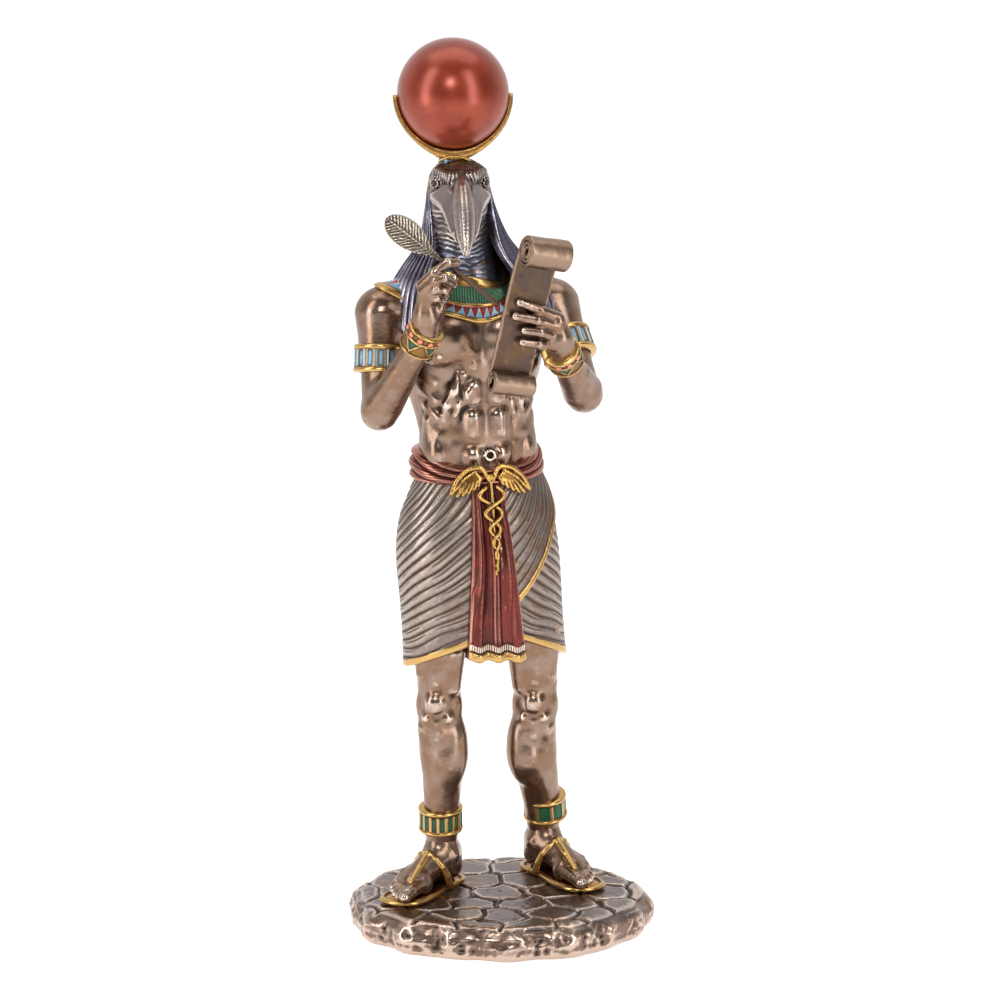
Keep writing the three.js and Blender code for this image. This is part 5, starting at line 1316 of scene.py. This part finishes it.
def emblem():
    def at(left, z, out):
        return torso(-1 + left, along(KILT_DEPTH, np.array(z, float)) + 2.4 + out - 0.012 * left * left, z)

    shapes = [
        *chain([at(0.4, 147.5, 1.6), at(0.5, 140, 0.9), at(0.2, 117.5, 0.2)], [0.5, 0.45, 0.4], 0.2),
        lump(at(0.4, 147.5, 1.9), [1.05, 1.05, 1.05], TORSO, 0.2),
    ]
    lead = [(0.6, 146.6), (2.6, 150.2), (4.9, 150.5), (7.7, 149.5), (10.7, 146.5), (12.4, 143.1)]
    roots = [(4.6, 149.4), (4.4, 148.7), (4.0, 148.2), (3.6, 147.8), (3.2, 147.4), (2.8, 147.0)]
    tips = [(12.5, 142.5), (10.8, 142.0), (9.0, 142.2), (7.2, 142.9), (5.4, 143.8), (3.9, 144.9)]
    for s in SIDES:
        # A wing: its leading edge, and feathers that fan out from the shoulder
        shapes += chain([at(0.5 + s * x, z, 1.5) for x, z in curve(lead, 3)[:, :2]], 0.72, 0.2)
        for i, (root, tip) in enumerate(zip(roots, tips)):
            bend = ((root[0] + tip[0]) / 2 + 0.3, (root[1] + tip[1]) / 2 + 0.5)
            line = [at(0.5 + s * x, z, 1.2 - 0.06 * i) for x, z in (root, bend, tip)]
            shapes += chain(line, [0.6, 0.78, 0.5], 0.12)
        # A snake wound down the staff, its head curled in over the top
        snake = []
        for d in np.arange(-2.4, 23, 0.6):
            turns = 0.16 * max(d, -1) + 0.0032 * d * d
            wide = 4 * max(1 - d / 24, 0.02) ** 1.5 * (1 if d > 0 else 1 - 0.1 * d * d)
            over = 0.4 * s * math.sin(math.pi * turns)
            snake.append(at(0.5 + s * wide * math.cos(math.pi * turns), 141.8 - d, 0.9 + over))
        shapes += chain(snake, np.linspace(0.66, 0.36, len(snake)), 0.12)
    points, faces = surface(shapes, 0.24)
    piece("emblem", points, faces, [DEEP_GOLD], wear=worn(points, faces, 0.04, 0.25))


kilt()
wrap()
sash()
panel()
emblem()

# The moon and the crescent that holds it
CROWN = head(-1.7, 0.5, 242)
MOON = CROWN + UP * (STAND_HEIGHT + HORN_DEPTH + MOON_RADIUS)
POLE = 0.004  # angle from a pole to the ball's first ring


def moon():
    z, a = lattice(np.linspace(POLE, math.pi - POLE, 76), circle(150))
    way = np.stack([np.sin(z) * np.cos(a), np.sin(z) * np.sin(a), np.cos(z)], -1)
    soft = 0.06 * (noise(way * 16, 7, 41) - 0.5) - 0.05
    points, faces = sheet(MOON + way * (MOON_RADIUS + soft)[..., None], wraps=True, flip=True)
    piece("moon_ball", points, faces, [MOON_RED], "moon", wear=0.48 + 0.16 * noise(points, 5, 42))


def horn_at(phi):
    """Outer radius and half thickness of the crescent, phi from its lowest point."""
    share = np.maximum(np.cos(phi), 0)
    outer = MOON_RADIUS + HORN_TIP + (HORN_DEPTH - HORN_TIP) * share ** 9
    half = HORN_TIP * 1.1 + (HORN_THICKNESS / 2 - HORN_TIP * 1.1) * share ** 0.8
    return outer, half


def crescent():
    """A boat of gold that hugs the ball: deepest below it, thin and narrow at the two tips."""
    inner = MOON_RADIUS + 0.25
    reach = math.radians(90)
    phi, b = lattice(np.linspace(-reach, reach, 180), circle(40))
    outer, half = horn_at(phi)
    c, d = np.cos(b), np.sin(b)
    across = half * np.sign(c) * np.abs(c) ** 0.4
    deep = 0.5 + 0.5 * np.sign(d) * np.abs(d) ** 0.5
    floor = np.sqrt(inner ** 2 - across ** 2)
    bead = 0.35 * np.exp(-((np.abs(across) / half - 0.97) / 0.08) ** 2)
    r = floor + (outer - floor) * deep - bead * (1 - deep)
    # Scored lines over the outside, close together beside the stand
    near = np.exp(-((np.abs(phi) - 0.33) / 0.07) ** 2)
    scored = 0.12 * near * np.clip(np.sin(phi * 150), 0, 1) ** 3
    r = r - scored * np.clip(2 * deep - 0.3, 0, 1)
    end = np.clip((reach - np.abs(phi)) / 0.02, 0, 1) ** 0.5
    across = across * (0.05 + 0.95 * end)
    tilted = phi + HORN_TILT
    points = (
        MOON + SKULL[0] * (np.sin(tilted) * r)[..., None] - UP * (np.cos(tilted) * r)[..., None]
        + SKULL[1] * across[..., None]
    )
    points, faces = sheet(points, wraps=True)
    points = dented(points, faces, 0.09, 2.5, 43)
    piece("gold_crescent", points, faces, [OLD_GOLD], "crescent",
          wear=np.maximum(worn(points, faces, 0.08, 1.5), 0.3))

    # The stand, with a gold bead arched over its top
    base = CROWN + UP * STAND_HEIGHT
    bottom = -STAND_HEIGHT - 2.2
    profile = np.array([
        (0.3, bottom), (5.4, bottom), (4.9, bottom + 1), (4.4, -0.2),
        (4.4, 0.4), (4.9, 1.0), (4.9, 1.8), (0.3, 1.8),
    ])
    t = np.linspace(0, len(profile) - 1, 50)
    radius = np.interp(t, np.arange(len(profile)), profile[:, 0])
    height = np.interp(t, np.arange(len(profile)), profile[:, 1])
    ring = level_way(circle(72))
    points = base + ring[None] * radius[:, None, None] + UP * height[:, None, None]
    points, faces = sheet(points, wraps=True)
    piece("stand", points, faces, [TEAL], "crescent")
    for side, tag in ((1, "front"), (-1, "rear")):
        arch = [
            base + SKULL[0] * x + UP * (0.1 + 1.5 * math.cos(x / 5 * math.pi / 2)) + SKULL[1] * side * 5.75
            for x in np.linspace(-4.6, 4.6, 17)
        ]
        points, faces = surface(chain(arch, 0.38, 0.1), 0.16)
        piece(tag + "_arch", points, faces, [GOLD], "crescent")


moon()
crescent()

# The scroll
SCROLL_MIDDLE = vec(6.4, -31, 201)
SCROLL_LEAN = math.radians(10)
SCROLL_TIP = math.radians(6)
SCROLL_TURN = math.radians(25.5)


def scroll():
    half = SCROLL_LENGTH / 2
    wall = SCROLL_SHEET / 2
    top = SCROLL_TOP_ROLL - wall
    low = SCROLL_BOTTOM_ROLL - wall
    path = []
    # The sheet rolls up on itself inside the top roll, and once inside the low one
    for t in np.linspace(0, 1, 110):
        a = math.pi * (1 - 6.6 * (1 - t))
        r = top - 1.25 * np.clip(-0.31 - a / (2 * math.pi), 0, 3)
        path.append((SCROLL_CURL + top + r * math.cos(a), half + r * math.sin(a)))
    for t in np.linspace(0.98, -0.98, 50):
        path.append((1.1 * math.cos(math.pi / 2 * t) + SCROLL_CURL * max(t, 0) ** 2, half * t))
    for t in np.linspace(0, 1, 70):
        a = math.pi * (1 + 4.2 * t)
        r = low - 1.25 * np.clip(a / (2 * math.pi) - 1.3, 0, 2)
        path.append((low + r * math.cos(a), -half + r * math.sin(a)))
    path = np.array(path)
    ahead = np.roll(path, -1, axis=0)
    behind = np.roll(path, 1, axis=0)
    ahead[-1], behind[0] = path[-1], path[0]
    d = ahead - behind
    d /= np.linalg.norm(d, axis=1, keepdims=True)
    out = np.column_stack([-d[:, 1], d[:, 0]])
    # Shares of the half width and of the thickness, across the sheet
    edge = [(-1, 0.25), (-0.985, 0.75), (-0.95, 1.0)]
    middle = [(across, 1.0) for across in np.linspace(-0.9, 0.9, int(40 / COARSE))]
    loops = edge + middle + [(-across, thick) for across, thick in reversed(edge)]
    c, s = math.cos(SCROLL_LEAN), math.sin(SCROLL_LEAN)
    cp, sp = math.cos(SCROLL_TIP), math.sin(SCROLL_TIP)
    ct, st = math.cos(SCROLL_TURN), math.sin(SCROLL_TURN)
    tip = np.array([[1, 0, 0], [0, cp, -sp], [0, sp, cp]])
    lean = np.array([[ct * c, -st, ct * s], [st * c, ct, st * s], [-s, 0, c]]) @ tip
    basis = np.array([[0.0, -1, 0], [0, 0, 1], [-1, 0, 0]])  # section x, section y and width in space
    rows = []
    for across, thick in loops:
        wide = SCROLL_WIDTH / 2 * across
        both = np.concatenate([path + out * wall * thick, (path - out * wall * thick)[::-1]])
        local = np.column_stack([both, np.full(len(both), wide)])
        rows.append(local @ basis @ lean.T + SCROLL_MIDDLE)

    def closed(row):
        """A row drawn in to its middle line, which closes an end."""
        line = (row[:len(path)] + row[len(path):][::-1]) / 2
        return np.concatenate([line, line[::-1]])

    rows = [closed(rows[0]), *rows, closed(rows[-1])]
    points, faces = sheet(np.array(rows), wraps=True, flip=True)
    points = dented(points, faces, 0.16, 2.2, 51)
    piece("scroll_sheet", points, faces, [SCROLL], "scroll", wear=worn(points, faces, 0.05, 0.5))


scroll()

# The quill
QUILL_TIP = vec(0, -28.8, 203.6)
QUILL_BUTT = vec(-33.8, -20, 228.4)


def quill():
    path = QUILL_BUTT - QUILL_TIP
    long = np.linalg.norm(path)
    z = unit(path)
    face = vec(0.15, -1, 0.2)
    y = unit(face - z * (face @ z))
    x = np.cross(y, z)
    t = np.linspace(0, 1, 60)
    a = circle(20)
    radius = QUILL_SHAFT * np.interp(t, [0, 0.05, 0.2, 0.55, 1], [0.35, 0.9, 1, 0.85, 0.35])
    ring = np.cos(a)[:, None] * x + np.sin(a)[:, None] * y
    shaft = QUILL_TIP + (t * long * 0.985)[:, None, None] * z + ring[None] * radius[:, None, None]
    shaft = sheet(shaft, wraps=True)
    rows, columns = int(150 / COARSE), int(70 / COARSE)
    t, s = lattice(np.linspace(0, 1, rows), np.linspace(-1, 1, columns))
    vane = 0.1 + 0.9 * step(-0.05, 0.62, t)
    vane = vane * np.sqrt(np.clip(1.0004 - (np.clip(t - 0.6, 0, 1) / 0.4) ** 2.2, 0, 1))
    wide = QUILL_FEATHER_WIDTH / 2 * vane
    phase = t * 17 - np.abs(s) * 3.2 * vane + 0.5 * flat_noise(t * 20, s * 2, 61)
    barb = np.sin(math.pi * (phase % 1)) ** 0.6
    split = 0.12 * np.sin(2 * math.pi * phase) * (np.abs(s) > 0.9)
    edge = np.sqrt(np.clip(1 - np.abs(s) ** 6, 0, 1))
    base = long - QUILL_FEATHER_LENGTH
    sides = []
    for way in (1, -1):
        lift = way * (0.3 * edge + 0.4 * (barb - 0.4) * edge + 0.3 * np.exp(-(s / 0.1) ** 2)) + 0.25 * s * s
        points = (
            QUILL_TIP + (base + QUILL_FEATHER_LENGTH * t)[..., None] * z
            + (s * (wide + split))[..., None] * x + lift[..., None] * y
        )
        sides.append(sheet(points, flip=way > 0))
    points, faces = joined(*sides)
    piece("quill_feather", points, faces, [QUILL], "quill", wear=worn(points, faces, 0.07, 0.3))
    points, faces = shaft
    piece("quill_shaft", dented(points, faces, 0.1, 1.6, 62), faces, [SCROLL], "quill",
          wear=0.3 + 0.3 * noise(points, 2, 63))


quill()


# The base
TOP_SHARE = 0.925  # how far out the top reaches, as a share of the outline
OUTLINE_FIT = 2.07  # a little over 2, so that the waves of the outline stay inside the solid's


def seeded(seed):
    state = seed
    while True:
        state = state * 16807 % 2147483647
        yield state / 2147483647


def rim(angle, share, rough):
    chips = np.sin(11 * angle) + 1.2 * np.sin(17 * angle + 2)
    wobble = 1 + 0.012 * np.sin(5 * angle + 1) + 0.01 * rough * chips
    return (
        BASE_WIDTH / OUTLINE_FIT * share * wobble * np.cos(angle),
        BASE_DEPTH / OUTLINE_FIT * share * wobble * np.sin(angle),
    )


def stone_seeds():
    random = seeded(7)
    seeds = []
    for row in range(-3, 4):
        for column in range(-4, 5):
            x = (column + (0.5 if row % 2 else 0) + (next(random) - 0.5) * 0.5) * PAVING_PITCH * 1.12
            y = (row + (next(random) - 0.5) * 0.4) * PAVING_PITCH * 0.82
            seeds.append((x, y))
    return np.array(seeds)


def base():
    columns = int(620 / COARSE)
    a = circle(columns)
    inner = np.linspace(0.005, 1, int(92 / COARSE)) ** 0.8
    levels = [(0, 0.955), (0.12, 0.985), (0.45, 1), (0.72, 0.99), (0.9, 0.955), (1, TOP_SHARE)]
    heights, shares = np.array(levels).T
    side_h = np.linspace(1, 0, int(34 / COARSE))
    share = np.concatenate([inner * TOP_SHARE, np.interp(side_h, heights, shares)[1:]])
    height = np.concatenate([np.ones(len(inner)), side_h[1:]])
    s, angle = lattice(share, a)
    h = np.repeat(height[:, None], columns, axis=1)
    rough = np.where(h >= 1, 0.4, 1) * step(0.5, 0.9, s)
    x, y = rim(angle, s, rough)
    flat = np.stack([x, y], -1)
    warp = np.stack([noise(np.stack([x, y, x * 0 + k], -1), 7, 70 + k) - 0.5 for k in (0, 1)], -1)
    at = flat + warp * 5
    seeds = stone_seeds()
    apart = ((at[..., None, :] - seeds) ** 2).sum(-1)
    nearest = apart.argmin(-1)
    first = np.take_along_axis(apart, nearest[..., None], -1)
    to_seed = np.sqrt(((seeds[nearest][..., None, :] - seeds) ** 2).sum(-1))
    gap = (apart - first) / (2 * np.maximum(to_seed, 1e-6))
    gap = np.where(to_seed < 1e-6, 1e3, gap).min(-1)
    stone = step(0.1, PAVING_JOINT, gap)
    tilt = flat_noise(nearest * 3.7, nearest * 1.3, 72) - 0.5
    where = np.stack([x, y, h * BASE_HEIGHT], -1)
    worn_rock = 0.7 * noise(where, 3.4, 73) + 0.55 * noise(where, 1.3, 74)
    z = h * (BASE_HEIGHT - PAVING_RELIEF)
    lip = np.clip(1 - (TOP_SHARE - s) / 0.05, 0, 1)
    top = PAVING_RELIEF * stone * (1 + 0.5 * tilt) - 0.1 * (1 - stone)
    z = z + np.where(h >= 1, top - 0.5 * lip ** 2 + 0.32 * worn_rock - 0.3, 0)
    # Rough broken sides
    def crests(scale, seed):
        return 1 - np.abs(2 * noise(where * [1, 1, 0.8], scale, seed) - 1)

    broken = 1.5 * crests(6.5, 75) + 0.75 * crests(2.9, 76) + 0.35 * crests(1.4, 77)
    out = np.where(h < 1, broken - 2, 0) * np.sin(math.pi * np.clip(h, 0.02, 1)) ** 0.4
    radial = level_way(angle)
    points = np.stack([x, y, np.clip(z, 0, BASE_HEIGHT)], -1) + radial * np.minimum(out, 0.05)[..., None]
    under = points[-1:] * [0.02, 0.02, 1]
    points, faces = sheet(np.concatenate([points, under]), wraps=True, flip=True)
    flat_top = points[:, 2] > BASE_HEIGHT - 2.4
    blue = flat_top * step(0.35, 0.6, noise(points, 9, 79)) * 0.9
    wear = worn(points, faces, 0.09, 1.2)
    piece("paving", points, faces, [STONE], "stone_base", tint=blue, wear=wear)


base()


# Floor, light and camera, in metres
FLOOR = 6.0  # half its width
FLOOR_DROP = 0.0002
CAMERA = (0, -0.9713, 0.3534)
CAMERA_AIM = (0, 0.005, 0.137)
LENS = 115.6
LIGHT_AIM = (0, 0, 0.16)
LIGHTS = [  # name, place, width, height, watts
    ("left_softbox", (-0.8, -0.5, 0.45), 0.3, 1.5, 7),
    ("right_softbox", (0.67, -0.74, 0.45), 0.3, 1.5, 7),
    ("top_softbox", (0.0, 0.1, 1.4), 1.6, 0.7, 6),
    ("front_softbox", (-0.12, -1.3, 0.95), 0.34, 0.34, 6),
]
ROOM = [(0.0, 0.1), (0.4, 0.16), (0.66, 0.42), (0.85, 0.9), (1.0, 1.0)]  # brightness from front to back


def put(name, data, place, aim):
    """A light or camera, turned to the point it aims at."""
    obj = bpy.data.objects.new(name, data)
    bpy.context.scene.collection.objects.link(obj)
    obj.location = place
    obj.rotation_euler = (Vector(aim) - Vector(place)).to_track_quat("-Z", "Y").to_euler()
    return obj


def studio():
    mesh = bpy.data.meshes.new("floor")
    corners = [(-FLOOR, -FLOOR), (FLOOR, -FLOOR), (FLOOR, FLOOR), (-FLOOR, FLOOR)]
    mesh.from_pydata([(x, y, -FLOOR_DROP) for x, y in corners], [], [(0, 1, 2, 3)])
    floor = bpy.data.objects.new("floor", mesh)
    bpy.context.scene.collection.objects.link(floor)
    material = bpy.data.materials.new("pale_floor")
    material.use_nodes = True
    shader = material.node_tree.nodes["Principled BSDF"]
    shader.inputs["Base Color"].default_value = (0.9, 0.9, 0.9, 1)
    shader.inputs["Roughness"].default_value = 0.9
    shader.inputs["Emission Color"].default_value = (1, 1, 1, 1)
    shader.inputs["Emission Strength"].default_value = 0.5
    mesh.materials.append(material)

    world = bpy.data.worlds.new("studio")
    bpy.context.scene.world = world
    world.use_nodes = True
    tree = world.node_tree
    # The room is bright at the sides and behind, and darker in front
    way = node_of(tree, "ShaderNodeTexCoord").outputs["Generated"]
    depth = node_of(tree, "ShaderNodeSeparateXYZ", in_0=way).outputs["Y"]
    share = node_of(tree, "ShaderNodeMapRange", in_0=depth, in_1=-1.0, in_2=0.5).outputs[0]
    shade = ramp(tree, share, [(at, level(light)) for at, light in ROOM])
    background = tree.nodes["Background"]
    tree.links.new(shade, background.inputs[0])
    background.inputs[1].default_value = 1.0
    for name, place, wide, tall, watts in LIGHTS:
        light = bpy.data.lights.new(name, "AREA")
        light.shape = "RECTANGLE"
        light.size = wide
        light.size_y = tall
        light.energy = watts
        put(name, light, place, LIGHT_AIM)

    camera = bpy.data.cameras.new("camera")
    camera.sensor_width = 36
    camera.lens = LENS
    bpy.context.scene.camera = put("camera", camera, CAMERA, CAMERA_AIM)
    bpy.context.scene.view_settings.view_transform = "Standard"


studio()
bpy.context.view_layer.update()
